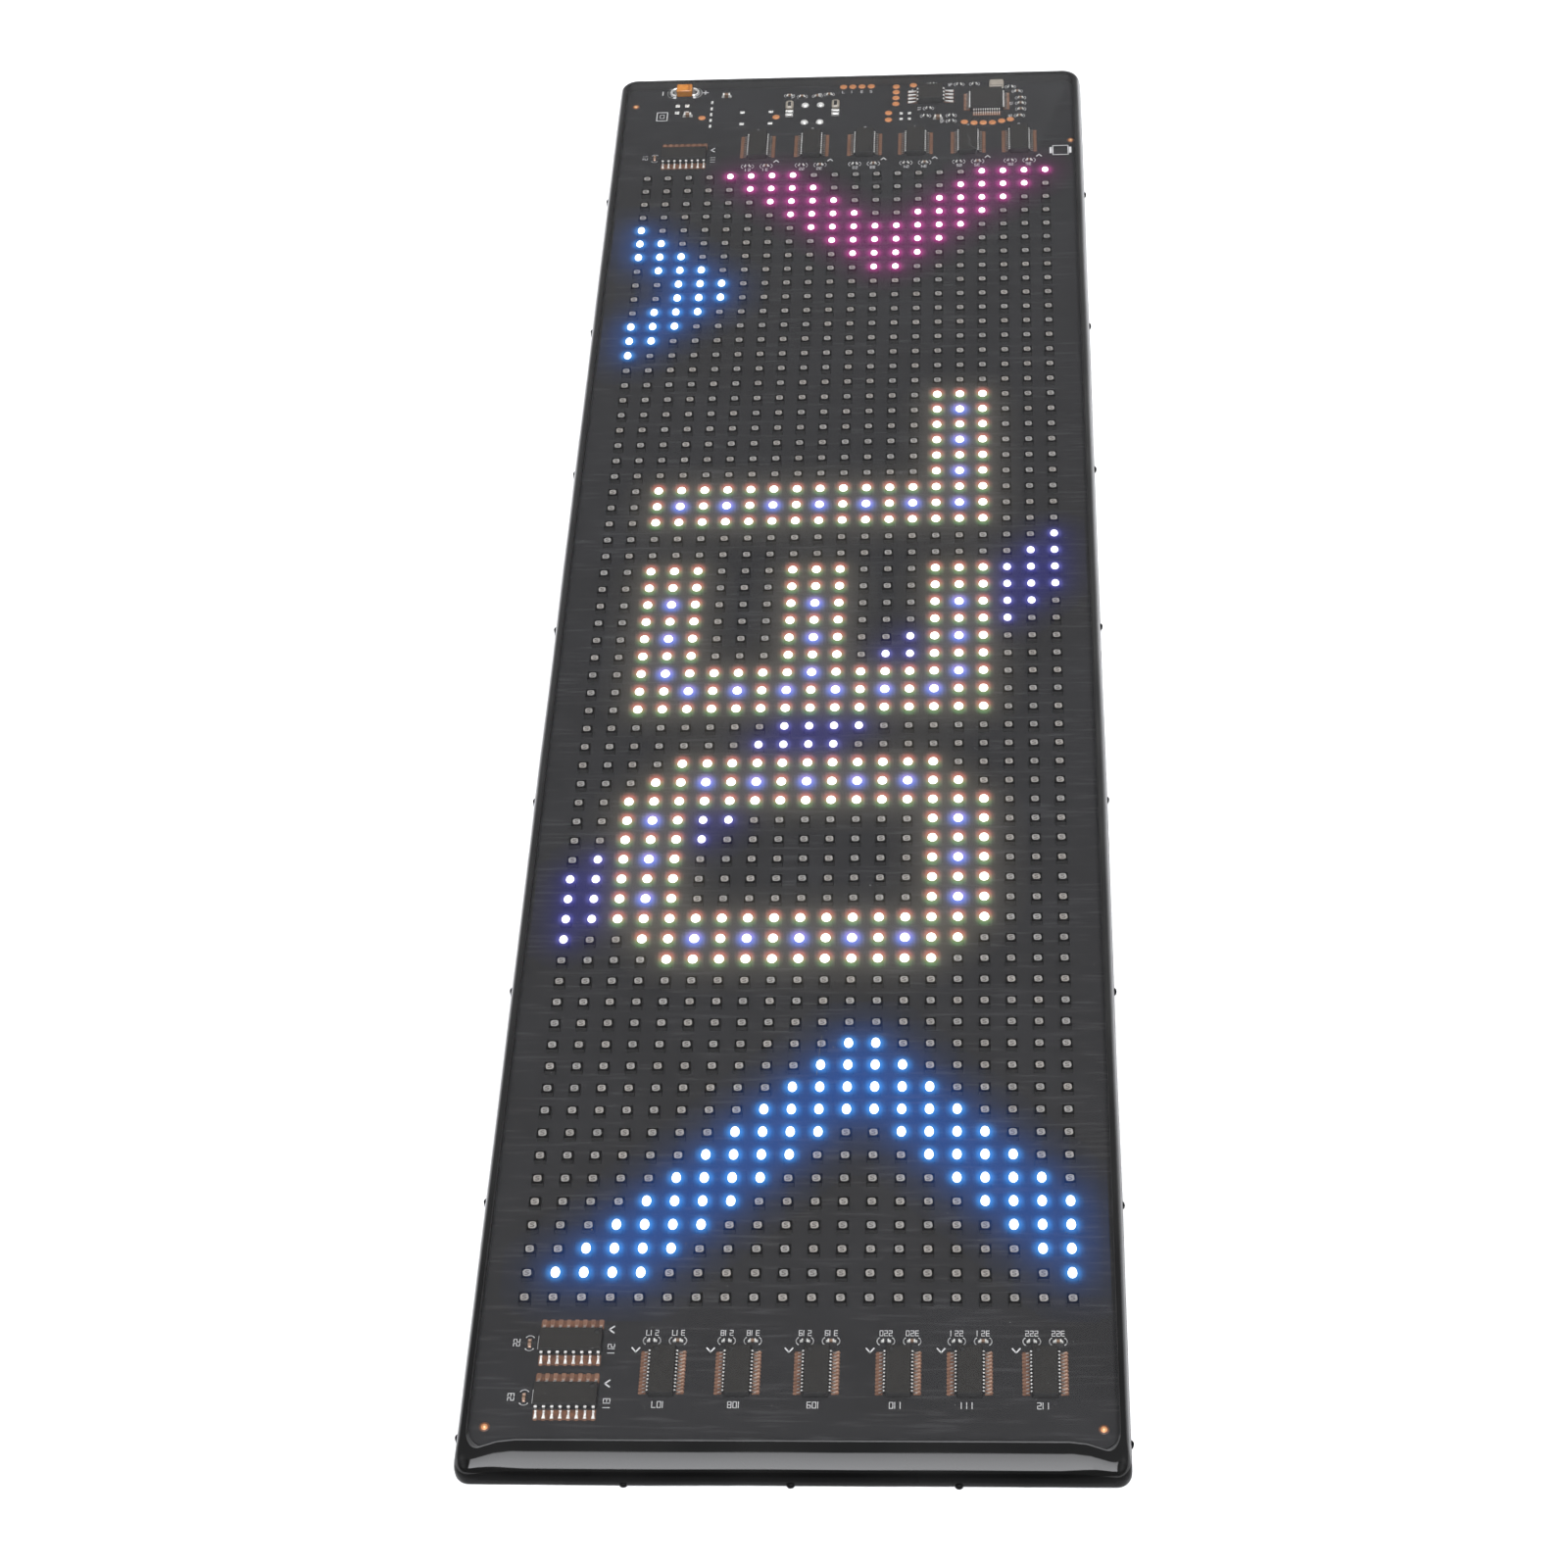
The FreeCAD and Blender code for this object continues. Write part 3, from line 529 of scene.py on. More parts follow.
def make_nub(height):
    nub = Shape()
    levels = ((0.0, 0.02), (0.0, height - 0.2), (0.08, height - 0.06), (0.3, height))
    loft(nub, [circle(NUB_RADIUS - shrink, z, 12) for shrink, z in levels], 1)
    return nub


def make_moulding():
    """A tray with a rolled edge, wide at the near end, and a row of small nubs at its foot."""
    shape = Shape()
    rings = []
    for z, inset in ((0.0, 0.3), (0.03, 0.12), (0.12, 0.03), (0.3, 0.0), (STRAIGHT_WALL, 0.0)):
        rings.append(outline(inset, inset, NEAR_FOOT, CORNER, z, WALL_SWAY if z else 0.0))
    for step in range(1, ROLL_STEPS + 1):
        turn = math.radians(90 * step / ROLL_STEPS)
        inset, rise = 1 - math.cos(turn), math.sin(turn)
        rings.append(outline(
            inset * EDGE_ROLL, inset * NEAR_ROLL,
            NEAR_FOOT + inset * (NEAR_CORNER - NEAR_FOOT), CORNER + inset * (FAR_CORNER - CORNER),
            STRAIGHT_WALL + rise * (SURFACE - STRAIGHT_WALL), ROLL_SWAY * (1 - rise ** 6),
            corner_ease(inset),
        ))
    for shrink, drop in ((0.08, 0.0), (0.02, 0.02), (0.0, 0.08), (0.0, SURFACE - BOARD_LOW[2])):
        rings.append(mouth(-shrink, SURFACE - drop))
    inside = len(rings) - 2
    loft(shape, rings[:FOOT_RINGS], 1, top=False)
    loft(shape, rings[FOOT_RINGS - 1:inside + 1], 0, bottom=False, top=False)
    # The inner wall, down to the board, takes the lighter grey of painted light.
    loft(shape, rings[inside:], 2, bottom=False)

    nub, tall_nub = make_nub(LOW_NUB), make_nub(TALL_NUB)
    reach = NUB_RADIUS - NUB_SINK
    for number in range(SIDE_NUBS):
        y = FIRST_NUB + (LAST_NUB - FIRST_NUB) * number / (SIDE_NUBS - 1)
        for sign, kind in ((-1, tall_nub), (1, nub)):
            shape.copy(kind, sign * (HALF_WIDTH - reach), y)
    for number in (-1, 0, 1):
        for sign in (-1, 1):
            shape.copy(nub, number * END_NUB_STEP, sign * (HALF_LENGTH - reach))
    piece = shape.piece(
        "black_tray", [MOULDING, MOULDING_FOOT, TRAY_INSIDE], ["moulded_backing"], "black_moulding", 50
    )
    # Painted reflection of the studio light: the moulding is painted darkest at the near end, up to 3.3 times
    # lighter beyond it, and up to 6.3 times lighter along the far edge.
    values = []
    for _, y, _ in shape.points:
        share = min(max((y + HALF_LENGTH - 8) / 140, 0.0), 1.0)
        end = min(max((y - HALF_LENGTH + 3) / 2, 0.0), 1.0)
        values += rgba(1 + 2.3 * share * share * (3 - 2 * share) + 3.0 * end)
    paint(piece, "tone_and_painted_light", values)


def make_gel():
    """The clear filling, from the board up to the lip, with its edge drawn down a little."""
    levels = ((0.02, BOARD_TOP + 0.02), (0.02, SURFACE - 0.1), (0.2, SURFACE - 0.005), (0.26, SURFACE))
    rings = [mouth(inset, z) for inset, z in levels]
    shape = Shape()
    loft(shape, rings[:2], 1, top=False)
    # The bevel is painted: a painted highlight along the near end, dim grey along the sides and the far end.
    edge = len(shape.faces)
    loft(shape, rings[1:3], 2, bottom=False, top=False)
    for face in range(edge, len(shape.faces)):
        if shape.points[shape.faces[face][0]][1] > NEAR_ROLL + 1.5 - HALF_LENGTH:
            shape.slots[face] = 3
    loft(shape, rings[2:], 0, bottom=False)
    shape.piece(
        "clear_filling", [GEL_SURFACE, GEL_INSIDE, GEL_EDGE, GEL_SIDE], ["clear_coat"], "clear_gel", 12
    )


# What the sign shows: which LEDs are lit, and in which colour

DIGITS = {
    "7": [((16, 24), (14, 16)), ((22, 24), (2, 16))],
    "3": [((27, 35), (2, 4)), ((27, 35), (8, 10)), ((27, 35), (14, 16)), ((33, 35), (2, 16))],
    "0": [((38, 48), (2, 4)), ((38, 48), (14, 16)), ((38, 40), (2, 16)), ((46, 48), (2, 16))],
}
ZERO_ROWS, DIGIT_COLUMNS = (38, 48), (2, 16)
CHEVRON_MIDDLE = 11.5


def digit_stroke(row, column):
    """True where a stroke of one of the three digits is lit."""
    corner = min(row - ZERO_ROWS[0], ZERO_ROWS[1] - row) + min(
        column - DIGIT_COLUMNS[0], DIGIT_COLUMNS[1] - column
    )
    if ZERO_ROWS[0] <= row <= ZERO_ROWS[1] and corner < 2:
        return False
    return any(
        rows[0] <= row <= rows[1] and columns[0] <= column <= columns[1]
        for strokes in DIGITS.values() for rows, columns in strokes
    )


def stroke_centre(row, column):
    """True on every second LED of a stroke's middle line, where the light is colder."""
    if not all(digit_stroke(row + dr, column + dc) for dr in (-1, 0, 1) for dc in (-1, 0, 1)):
        return False
    return (row + column) % 2 == 0


def lit(row, column):
    """The colour that an LED is lit in, or None."""
    off = abs(column - CHEVRON_MIDDLE)
    if 4.5 <= off + row <= 7.5:
        return "pink"
    if 4 <= row <= 13 and 2 <= column + abs(row - 8.5) - 0.5 <= 4:
        return "blue"
    if 52 <= row <= 62 and row - 54.5 <= off <= row - 51.5:
        return "blue"
    if digit_stroke(row, column):
        return "cold" if stroke_centre(row, column) else "warm"
    if 25 <= row <= 47 and 44 <= row + column <= 47:
        return "violet"
    return None


LIT = {(row, column): lit(row, column) for row in range(ROWS) for column in range(COLUMNS)}


# LEDs

def led_shape():
    """One LED: a black body with bevelled edges round a sunk milky window with its dies."""
    shape = Shape()
    side, bevel, window, depth, waist_drop = 1.84, 0.08, 1.38, 0.05, 0.12
    rim = LED_TOP - 0.01
    foot, waist, middle, upper = (ring(wide, wide, 0.01, z, 1)[::2] for wide, z in (
        (side, BOARD_TOP), (side, rim - bevel - waist_drop), (side, rim - bevel), (side - 2 * bevel, rim),
    ))
    # The lower part of the sides takes the lighter grey of painted light.
    loft(shape, [foot, waist], 3, top=False)
    loft(shape, [waist, middle, upper], 0, bottom=False, top=False)
    edge = ring(window + 0.04, window - 0.06, 0.5, rim, 4)
    bridge(shape, upper, edge, (0, 0))
    recess(shape, edge, ring(window, window - 0.1, 0.48, rim - depth, 4), 1)
    raised = rim - depth + 0.012
    sign = [
        (0.3, 0.34), (-0.14, 0.36), (-0.32, 0.14), (-0.02, 0.02), (0.3, -0.1), (0.1, -0.36), (-0.34, -0.32)
    ]
    for ends in zip(sign, sign[1:]):
        shape.add([(*corner, raised) for corner in bar(*ends, 0.2, 0)], [(0, 1, 2, 3)], 2)
    return shape


def make_leds():
    led = led_shape()
    count = len(led.points)
    shades = random.Random(64)
    for number in range(ROWS // BLOCK_ROWS):
        shape, values = Shape(), []
        for row in range(number * BLOCK_ROWS, (number + 1) * BLOCK_ROWS):
            for column in range(COLUMNS):
                x, y = led_place(row, column)
                shape.copy(led, x, y)
                warmth, value = shades.uniform(-0.03, 0.03), shades.uniform(0.91, 1.06)
                values += [value + warmth, value, value - warmth, 1.0] * count
        piece = shape.piece(
            f"leds_{number + 1}", [LED_BODY, LED_LENS, LED_DETAIL, LED_FOOT], [f"led_block_{number + 1}"],
            "led_window",
        )
        paint(piece, "tone_and_painted_light", values)


# The light spot over a lit LED: half its width, half its length and its height
SPOTS = {
    "pink": (0.68, 0.8, 0.45), "blue": (0.74, 0.98, 0.62), "warm": (0.83, 0.92, 0.45),
    "cold": (0.83, 0.92, 0.45), "violet": (0.73, 0.86, 0.45),
}


def make_lights():
    """A round spot of light over each lit LED."""
    base, steps = LED_TOP + 0.02, 16
    for colour, material in LIGHTS.items():
        half_width, half_length, height = SPOTS[colour]
        spot = Shape()
        rings = []
        for step in range(4):
            turn = math.radians(90 * step / 4)
            level = circle(math.cos(turn), base + height * math.sin(turn), steps)
            rings.append([(x * half_width, y * half_length, z) for x, y, z in level])
        loft(spot, rings, top=False)
        tip = (0, 0, base + height)
        spot.add(rings[-1] + [tip], [(place, (place + 1) % steps, steps) for place in range(steps)])
        shape = Shape()
        for (row, column), shown in LIT.items():
            if shown == colour:
                shape.copy(spot, *led_place(row, column))
        shape.piece(f"light_spots_{colour}", [material], slot="led_window", smooth_below=80)


# Each glow: colour, strength, reach and shift towards the far end
GLOWS = {
    "pink": [((0.66, 0.08, 0.36), 0.55, 0.75, 0.0), ((0.36, 0.0, 0.24), 0.15, 2.2, 0.0)],
    "blue": [((0.08, 0.36, 0.9), 0.72, 0.75, 0.0), ((0.0, 0.15, 0.75), 0.14, 2.6, 0.0)],
    "warm": [((0.9, 0.2, 0.16), 0.55, 0.62, 0.5), ((0.16, 0.5, 0.18), 0.5, 0.62, -0.5),
             ((0.42, 0.37, 0.27), 0.115, 2.0, 0.0)],
    "cold": [((0.5, 0.2, 0.4), 0.4, 0.6, 0.5), ((0.14, 0.26, 0.95), 0.85, 0.95, -0.15),
             ((0.28, 0.3, 0.6), 0.13, 2.0, 0.0)],
    "violet": [((0.3, 0.3, 0.9), 0.35, 0.6, 0.0), ((0.0, 0.0, 0.4), 0.19, 1.9, 0.0)],
}


def make_glow():
    """One thin sheet of light in the filling, brightest at the lit LEDs, and none far from them."""
    step, reach = 0.62, 9.0
    left, far = FIELD_LEFT - reach, FIRST_ROW + reach
    across = int((COLUMNS - 1) * PITCH / step + 2 * reach / step) + 1
    along = int((ROWS - 1) * PITCH / step + 2 * reach / step) + 1
    light = {}
    for (row, column), shown in LIT.items():
        if not shown:
            continue
        x, y = led_place(row, column)
        i0, j0 = round((x - left) / step), round((far - y) / step)
        span = int(reach / step)
        for i in range(max(i0 - span, 0), min(i0 + span, across - 1) + 1):
            for j in range(max(j0 - span, 0), min(j0 + span, along - 1) + 1):
                px, py = left + i * step, far - j * step
                total = light.setdefault((i, j), [0.0, 0.0, 0.0])
                for colour, strength, width, shift in GLOWS[shown]:
                    away = math.hypot(px - x, py - y - shift)
                    edge = max(away - 0.7, 0.0) / width
                    amount = strength * (math.exp(-edge * edge) if width < 1 else math.exp(-edge))
                    for channel in range(3):
                        total[channel] += colour[channel] * amount
    shape = Shape()
    number, colours = {}, []
    limit_x, limit_far, limit_near = HALF_WIDTH - 2.2, HALF_LENGTH - 2.2, NEAR_ROLL + 1 - HALF_LENGTH
    for (i, j), total in light.items():
        x, y = left + i * step, far - j * step
        strongest = max(total)
        if strongest < 0.003 or abs(x) > limit_x or not limit_near < y < limit_far:
            continue
        number[i, j] = len(shape.points)
        shape.points.append((x, y, LED_TOP + 0.01))
        alpha = min(0.5 * strongest, 1.0)
        colours += [channel / alpha for channel in total] + [alpha]
    for (i, j), corner in number.items():
        others = [(i, j + 1), (i + 1, j + 1), (i + 1, j)]
        if all(other in number for other in others):
            shape.faces.append([corner] + [number[other] for other in others])
    shape.slots = [0] * len(shape.faces)
    used = sorted({corner for face in shape.faces for corner in face})
    place = {corner: new for new, corner in enumerate(used)}
    shape.points = [shape.points[corner] for corner in used]
    shape.faces = [[place[corner] for corner in face] for face in shape.faces]
    piece = shape.piece("glow_in_filling", [GLOW], slot="clear_gel")
    paint(piece, "glow", [colours[4 * corner + part] for corner in used for part in range(4)])


# Chips

def package(width, length, height, inset=0.85, dimple=0.4):
    """A moulded chip body: it tapers up and down from its parting line, with a sunk mark at lead one."""
    shape = Shape()
    taper, bevel, corner, sides = 0.09, 0.06, 0.05, 14
    low, middle, high = 0.1, 0.1 + height * 0.48, 0.1 + height
    wide, long = width - 2 * taper, length - 2 * taper
    shoulder = ring(wide, long, corner, high - bevel, 1)
    # The sides take the lighter colour of painted light, and the top the chip's own black.
    loft(shape, [
        ring(wide, long, corner, low, 1), ring(width, length, corner, middle, 1), shoulder,
    ], 5, top=False)
    top = ring(wide - 2 * bevel, long - 2 * bevel, corner, high, 1)
    loft(shape, [shoulder, top], 0, False, False)
    x, y = inset - width / 2, length / 2 - inset
    mark = circle(dimple, high, sides, x, y)
    bridge(shape, top, mark, (x, y))
    recess(shape, mark, circle(dimple - 0.05, high - 0.1, sides, x, y), 2)
    return shape


def gull_wing(width, reach, shoulder, thick=0.13):
    """One bent lead along +X: out of the body, down, and out again as a foot on its pad."""
    shape = Shape()
    path = [
        (-0.1, shoulder), (0.2, shoulder), (0.29, shoulder - 0.05), (0.36, shoulder - 0.16),
        (0.46, 0.27), (0.53, 0.17), (0.62, 0.13), (reach, 0.12),
    ]
    rings = []
    for number, (x, z) in enumerate(path):
        before, after = path[max(number - 1, 0)], path[min(number + 1, len(path) - 1)]
        slope = math.atan2(after[1] - before[1], after[0] - before[0])
        dx, dz = -math.sin(slope) * thick / 2, math.cos(slope) * thick / 2
        rings.append([
            (x - dx, -width / 2, z - dz), (x - dx, width / 2, z - dz),
            (x + dx, width / 2, z + dz), (x + dx, -width / 2, z + dz),
        ])
    loft(shape, rings, 1)
    return shape


def fillet(width, start, end, height, slot=3, slant=0.0):
    """Solder that runs from the foot of a lead to the end of its pad, wider at the pad."""
    shape = Shape()
    loft(shape, [
        [(start, -width * 0.4, 0.01), (end, slant - width, 0.01), (end, slant + width, 0.01),
         (start, width * 0.4, 0.01)],
        [(start + 0.03, -width * 0.3, height), (end - 0.06, slant - width * 0.85, height * 0.5),
         (end - 0.06, slant + width * 0.85, height * 0.5), (start + 0.03, width * 0.3, height)],
    ], slot)
    return shape


def bead(width, shoulder, size=0.34):
    """The bend of a lead, where it leaves the package and turns down, as a small block painted bright: a
    painted highlight.
    """
    shape = Shape()
    block(shape, 0.2, 0, size, width, shoulder - 0.1, shoulder + 0.1, 0.06, 4)
    return shape


def chip(size, parts, count, pitch, sides=2):
    """A package with its rows of leads, the painted highlights at their bends and their solder. Parts go by
    side.
    """
    shape = Shape()
    shape.copy(package(*size))
    width, length = size[:2]
    for side in range(sides):
        turn = side * TAU / sides
        out = width / 2 if side % 2 == 0 or sides == 2 else length / 2
        for place in range(count):
            along = (place - (count - 1) / 2) * pitch
            x = out * math.cos(turn) - along * math.sin(turn)
            y = out * math.sin(turn) + along * math.cos(turn)
            for part in parts[side % len(parts)]:
                shape.copy(part, x, y, 0, turn)
    return shape


CHIP_MATERIALS = [CHIP, LEAD, CHIP_MARK, SOLDER, TIN_AND_HIGHLIGHT, CHIP_SIDE, DULL_SOLDER, TAN_SOLDER]
OPENINGS = Shape()  # amber base film, bare where the cover film is cut away
PADS = Shape()


def pad_row(x, y, turn, out, count, pitch, pad_width, pad_length, opening, slant=0.0):
    """One row of pads in its opening, on one side of a chip."""
    row, pads = Shape(), Shape()
    block(row, out, 0, opening, (count - 1) * pitch + pad_width + 0.3, 0.0, 0.012, 0.004)
    OPENINGS.copy(row, x, y, BOARD_TOP, turn)
    half = pad_length / 2
    for place in range(count):
        along = (place - (count - 1) / 2) * pitch
        ends = [(out - half, along - slant / 2), (out + half, along + slant / 2)]
        stroke(pads, ends, pad_width, 0.01, 0.03)
    PADS.copy(pads, x, y, BOARD_TOP, turn)


def place_chip(node, name, whole, turn):
    """A chip in the place of its CAD node, whose middle is given back."""
    x, y = node_middle(node)
    shape = Shape()
    shape.copy(whole, x, y, BOARD_TOP, turn)
    shape.piece(name, CHIP_MATERIALS, [node], "chip")
    return x, y


COLUMN_CHIP, ROW_CHIP = (3.9, 8.65, 1.4), (3.9, 9.9, 1.45)
MEMORY_CHIP, CONTROL_CHIP = (5.3, 5.3, 1.6), (7.0, 7.0, 1.4, 0.95)
COLUMN_PITCH, WIDE_PITCH, CONTROL_PITCH = 0.635, 1.27, 0.5


def make_chips():
    fine = [gull_wing(0.2, 1.0, 0.78), bead(0.25, 0.78, 0.26)]
    far_left, far_right, right, left = (
        fine + [fillet(width, 0.5, end, height, slot, slant)] for width, end, height, slot, slant in (
            (0.17, 0.95, 0.15, 6, 0.1), (0.14, 0.95, 0.2, 7, 0.2),
            (0.14, 1.4, 0.2, 7, 0.3), (0.17, 1.3, 0.15, 6, 0.3),
        )
    )
    far_column, near_column = (
        chip(COLUMN_CHIP, sides, 12, COLUMN_PITCH) for sides in ((far_left, far_right), (right, left))
    )
    row = chip(ROW_CHIP, [
        [gull_wing(0.34, 1.0, 0.8), bead(0.5, 0.8, 0.34), fillet(0.29, 0.86, 1.85, 0.2)],
        [gull_wing(0.34, 1.0, 0.8), bead(0.5, 0.8, 0.3), fillet(0.26, 0.6, 1.3, 0.14, 7)],
    ], 8, WIDE_PITCH)
    memory = chip(MEMORY_CHIP, [
        [gull_wing(0.42, 1.3, 0.85), bead(0.44, 0.85), fillet(0.36, 0.6, 2.3, 0.25, 4)],
    ], 4, WIDE_PITCH)
    control = chip(CONTROL_CHIP, [
        [gull_wing(0.2, 1.0, 0.75), bead(0.24, 0.75), fillet(0.12, 0.6, 1.3, 0.15, 7)],
    ], 12, CONTROL_PITCH, 4)
    for number in range(1, 13):
        whole, turn, out, pads = (
            (far_column, math.pi, 3.4, (0.36, 0.42, 0.5)) if number <= 6
            else (near_column, 0.0, 2.92, (0.3, 0.9, 1.08, 0.3))
        )
        x, y = place_chip(f"column_driver_{number}", f"column_driver_chip_{number}", whole, turn)
        for side in (0, math.pi):
            pad_row(x, y, side, out, 12, COLUMN_PITCH, *pads)
    for number in range(1, 4):
        x, y = place_chip(f"row_driver_{number}", f"row_driver_chip_{number}", row, -math.pi / 2)
        pad_row(x, y, -math.pi / 2, 3.15, 8, WIDE_PITCH, 0.5, 1.5, 1.75)
        longer = 0.75 if number == 1 else 0.35
        pad_row(x, y, math.pi / 2, 2.85 + longer, 8, WIDE_PITCH, 0.62, 1.0 + longer, 1.3 + longer)
    x, y = place_chip("controller", "controller_chip", control, math.pi)
    for side in range(4):
        pad_row(x, y, side * TAU / 4, 4.35, 12, CONTROL_PITCH, 0.28, 1.1, 1.25)
    x, y = place_chip("flash_memory", "memory_chip", memory, 0.0)
    for side in (0, math.pi):
        for place in range(4):
            pad_row(x, y + (place - 1.5) * WIDE_PITCH, side, 4.0, 1, WIDE_PITCH, 0.5, 1.8, 2.0)


# Small parts, solder and copper

def two_ended(shape, x, y, width, length, height, body_slot):
    """A small part with a body between two solder ends, along its longer side."""
    along_x = width >= length
    long, short = (width, length) if along_x else (length, width)
    end = 0.24 * long
    turn = 0.0 if along_x else math.pi / 2
    part = Shape()
    block(part, 0, 0, long - 2 * end + 0.02, short, 0.03, height, 0.04, body_slot)
    for sign in (-1, 1):
        middle = sign * (long - end) / 2
        block(part, middle, 0, end, short + 0.02, 0.02, height + 0.02, 0.05, 0)
        outer = sign * (long / 2 + 0.13)
        wedge = ring(0.3, short * 0.95, 0.04, 0.01, 1, outer, 0)
        top = ring(0.1, short * 0.7, 0.03, height * 0.45, 1, sign * (long / 2 + 0.02), 0)
        loft(part, [wedge, top], 0)
    shape.copy(part, x, y, BOARD_TOP, turn)


def make_small_parts():
    for node in (
        "driver_resistors", "driver_capacitors", "row_capacitors", "controller_capacitors",
        "controller_resistors", "supply_capacitors",
    ):
        material = RESISTOR if node.endswith("resistors") else CAPACITOR
        shape = Shape()
        for x, y, width, length, height in islands(node):
            two_ended(shape, x, y, width, length, height, 1)
        ends = TAN_SOLDER if node == "row_capacitors" else SOLDER
        shape.piece(f"{node}_detailed", [ends, material], [node], "small_ceramic")

    shape = Shape()
    for x, y, width, length, height in islands("supply_fuses"):
        for part in (-0.4, -0.16):
            seat(shape, x, y + part * length, width, 0.62, 0.02, height * 0.55, 0.08)
        seat(shape, x, y + 0.22 * length, width, 0.5 * length, 0.02, height, 0.3, 1)
        seat(shape, x, y + 0.2 * length, width * 0.4, 0.3 * length, height, height + 0.01, 0.005, 2)
    shape.piece("supply_fuses_detailed", [SOLDER, CRYSTAL, RESISTOR], ["supply_fuses"], "small_ceramic")

    shape = Shape()
    for x, y, width, length, height in islands("crystal"):
        seat(shape, x, y, width, length, 0, height * 0.55, 0.1)
        seat(shape, x, y, width - 0.3, length - 0.3, height * 0.5, height, 0.08, 1)
        for sx in (-1, 1):
            for sy in (-1, 1):
                seat(shape, x + sx * width * 0.36, y + sy * length * 0.5, 0.7, 0.4, 0, 0.12, 0.03, 2)
    shape.piece("crystal_detailed", [CRYSTAL, CRYSTAL, SOLDER], ["crystal"], "crystal_case")


def make_input_capacitor():
    """An orange case between two solder ends, each a thick open ring."""
    x, y = node_middle("input_capacitor")
    width, length, height = 3.4, 2.6, node_box("input_capacitor")[1][2] - BOARD_TOP
    radius, thick, rise, span, steps = 1.3, 0.55, 0.5, 170, 12
    section = ((-0.5, 0.0), (-0.38, 0.75), (0.0, 1.0), (0.38, 0.75), (0.5, 0.0))
    shape = Shape()
    seat(shape, x, y, width, length, 0.05, height, 0.18)
    seat(shape, x + width * 0.32, y, width * 0.16, length - 0.36, height - 0.1, height + 0.01, 0.02, 1)
    for sign, start in ((-1, 95), (1, -85)):
        middle = x + sign * width / 2
        rings = []
        for step in range(steps + 1):
            turn = math.radians(start + span * step / steps)
            rings.append([(
                middle + (radius + out * thick) * math.cos(turn), y + (radius + out * thick) * math.sin(turn),
                BOARD_TOP + 0.01 + up * rise,
            ) for out, up in section])
        loft(shape, rings, 2)
        seat(shape, middle + sign * 0.2, y, 0.8, length * 0.75, 0, 0.3, 0.05, 3)
    shape.piece(
        "input_capacitor_detailed", [ORANGE, ORANGE_BAND, SOLDER, LEAD], ["input_capacitor"],
        "orange_ceramic",
    )


def bare_pad(shape, x, y, radius, gap):
    """A round pad of copper in its opening in the cover film."""
    disc(OPENINGS, x, y, [(radius + gap, 0), (radius + gap - 0.02, 0.012)], 24)
    disc(shape, x, y, [(radius, 0.01), (radius, 0.06), (radius - 0.05, 0.08)], 28)


def make_copper():
    pads, marks, joints = Shape(), Shape(), Shape()
    for x, y, width, *_ in islands("test_pads"):
        bare_pad(pads, x, y, width / 2, 0.16)
    for x, y, *_ in islands("fiducial_marks"):
        bare_pad(marks, x, y, 0.52, 0.3)
        # The raised middle of each corner mark is a paler copper than the pad round it.
        disc(marks, x, y, [(0.2, 0.08), (0.16, 0.1)], 12, 1)
    for x, y, width, _, height in islands("supply_joints"):
        turns = [math.radians(84 * step / 6) for step in range(7)]
        levels = [(width / 2 * math.cos(turn), 0.01 + height * math.sin(turn)) for turn in turns]
        disc(joints, x, y, levels, 24)
    pads.piece("test_pads_bare", [COPPER], ["test_pads"], "copper")
    marks.piece("corner_marks_bare", [COPPER, PALE_COPPER], ["fiducial_marks"], "copper")
    joints.piece("solder_domes", [SOLDER], ["supply_joints"], "solder", 60)


# White print on the board: plain marks and numbers

INK_LOW, INK_HIGH = BOARD_TOP + 0.002, BOARD_TOP + 0.018
SEGMENTS = {
    "a": [(0, 2), (1, 2)], "b": [(1, 2), (1, 1)], "c": [(1, 1), (1, 0)], "d": [(0, 0), (1, 0)],
    "e": [(0, 0), (0, 1)], "f": [(0, 1), (0, 2)], "g": [(0, 1), (1, 1)],
}
NUMERALS = ["abcdef", "bc", "abged", "abgcd", "fgbc", "afgcd", "afgedc", "abc", "abcdefg", "abcdfg"]


def number(shape, value, x, y, height=1.05, turn=math.pi, width=0.12):
    """A plain number whose middle is at x, y."""
    text = str(value)
    cell, gap = height * 0.5, height * 0.28
    cosine, sine = math.cos(turn), math.sin(turn)
    left = -(len(text) * cell + (len(text) - 1) * gap) / 2
    for place, figure in enumerate(text):
        for name in NUMERALS[int(figure)]:
            line = []
            for u, v in SEGMENTS[name]:
                px, py = left + place * (cell + gap) + u * cell, (v / 2 - 0.5) * height
                line.append((x + px * cosine - py * sine, y + px * sine + py * cosine))
            ink_line(shape, line, width)


def ink_line(shape, points, width=0.16):
    stroke(shape, points, width, INK_LOW, INK_HIGH)


def brackets(shape, x, y, reach=1.35, upright=False, size=0.74):
    """A pair of round brackets about a small part."""
    for start in (-56, 124):
        points = arc(0, 0, size, start, start + 112, 6)
        shift = reach - size if start < 0 else size - reach
        if upright:
            points = [(x - py, y + px + shift) for px, py in points]
        else:
            points = [(x + px + shift, y + py) for px, py in points]
        ink_line(shape, points, 0.15)


def chevron(shape, x, y, turn, size=0.62):
    """An open arrowhead that points along the given turn, in degrees."""
    tip = math.radians(turn)
    ends = [math.radians(turn + 180 + side * 38) for side in (-1, 1)]
    points = [(x + size * 1.5 * math.cos(end), y + size * 1.5 * math.sin(end)) for end in ends]
    shift = size * 0.6
    points.insert(1, (x, y))
    points = [(px + shift * math.cos(tip), py + shift * math.sin(tip)) for px, py in points]
    ink_line(shape, points, 0.22)


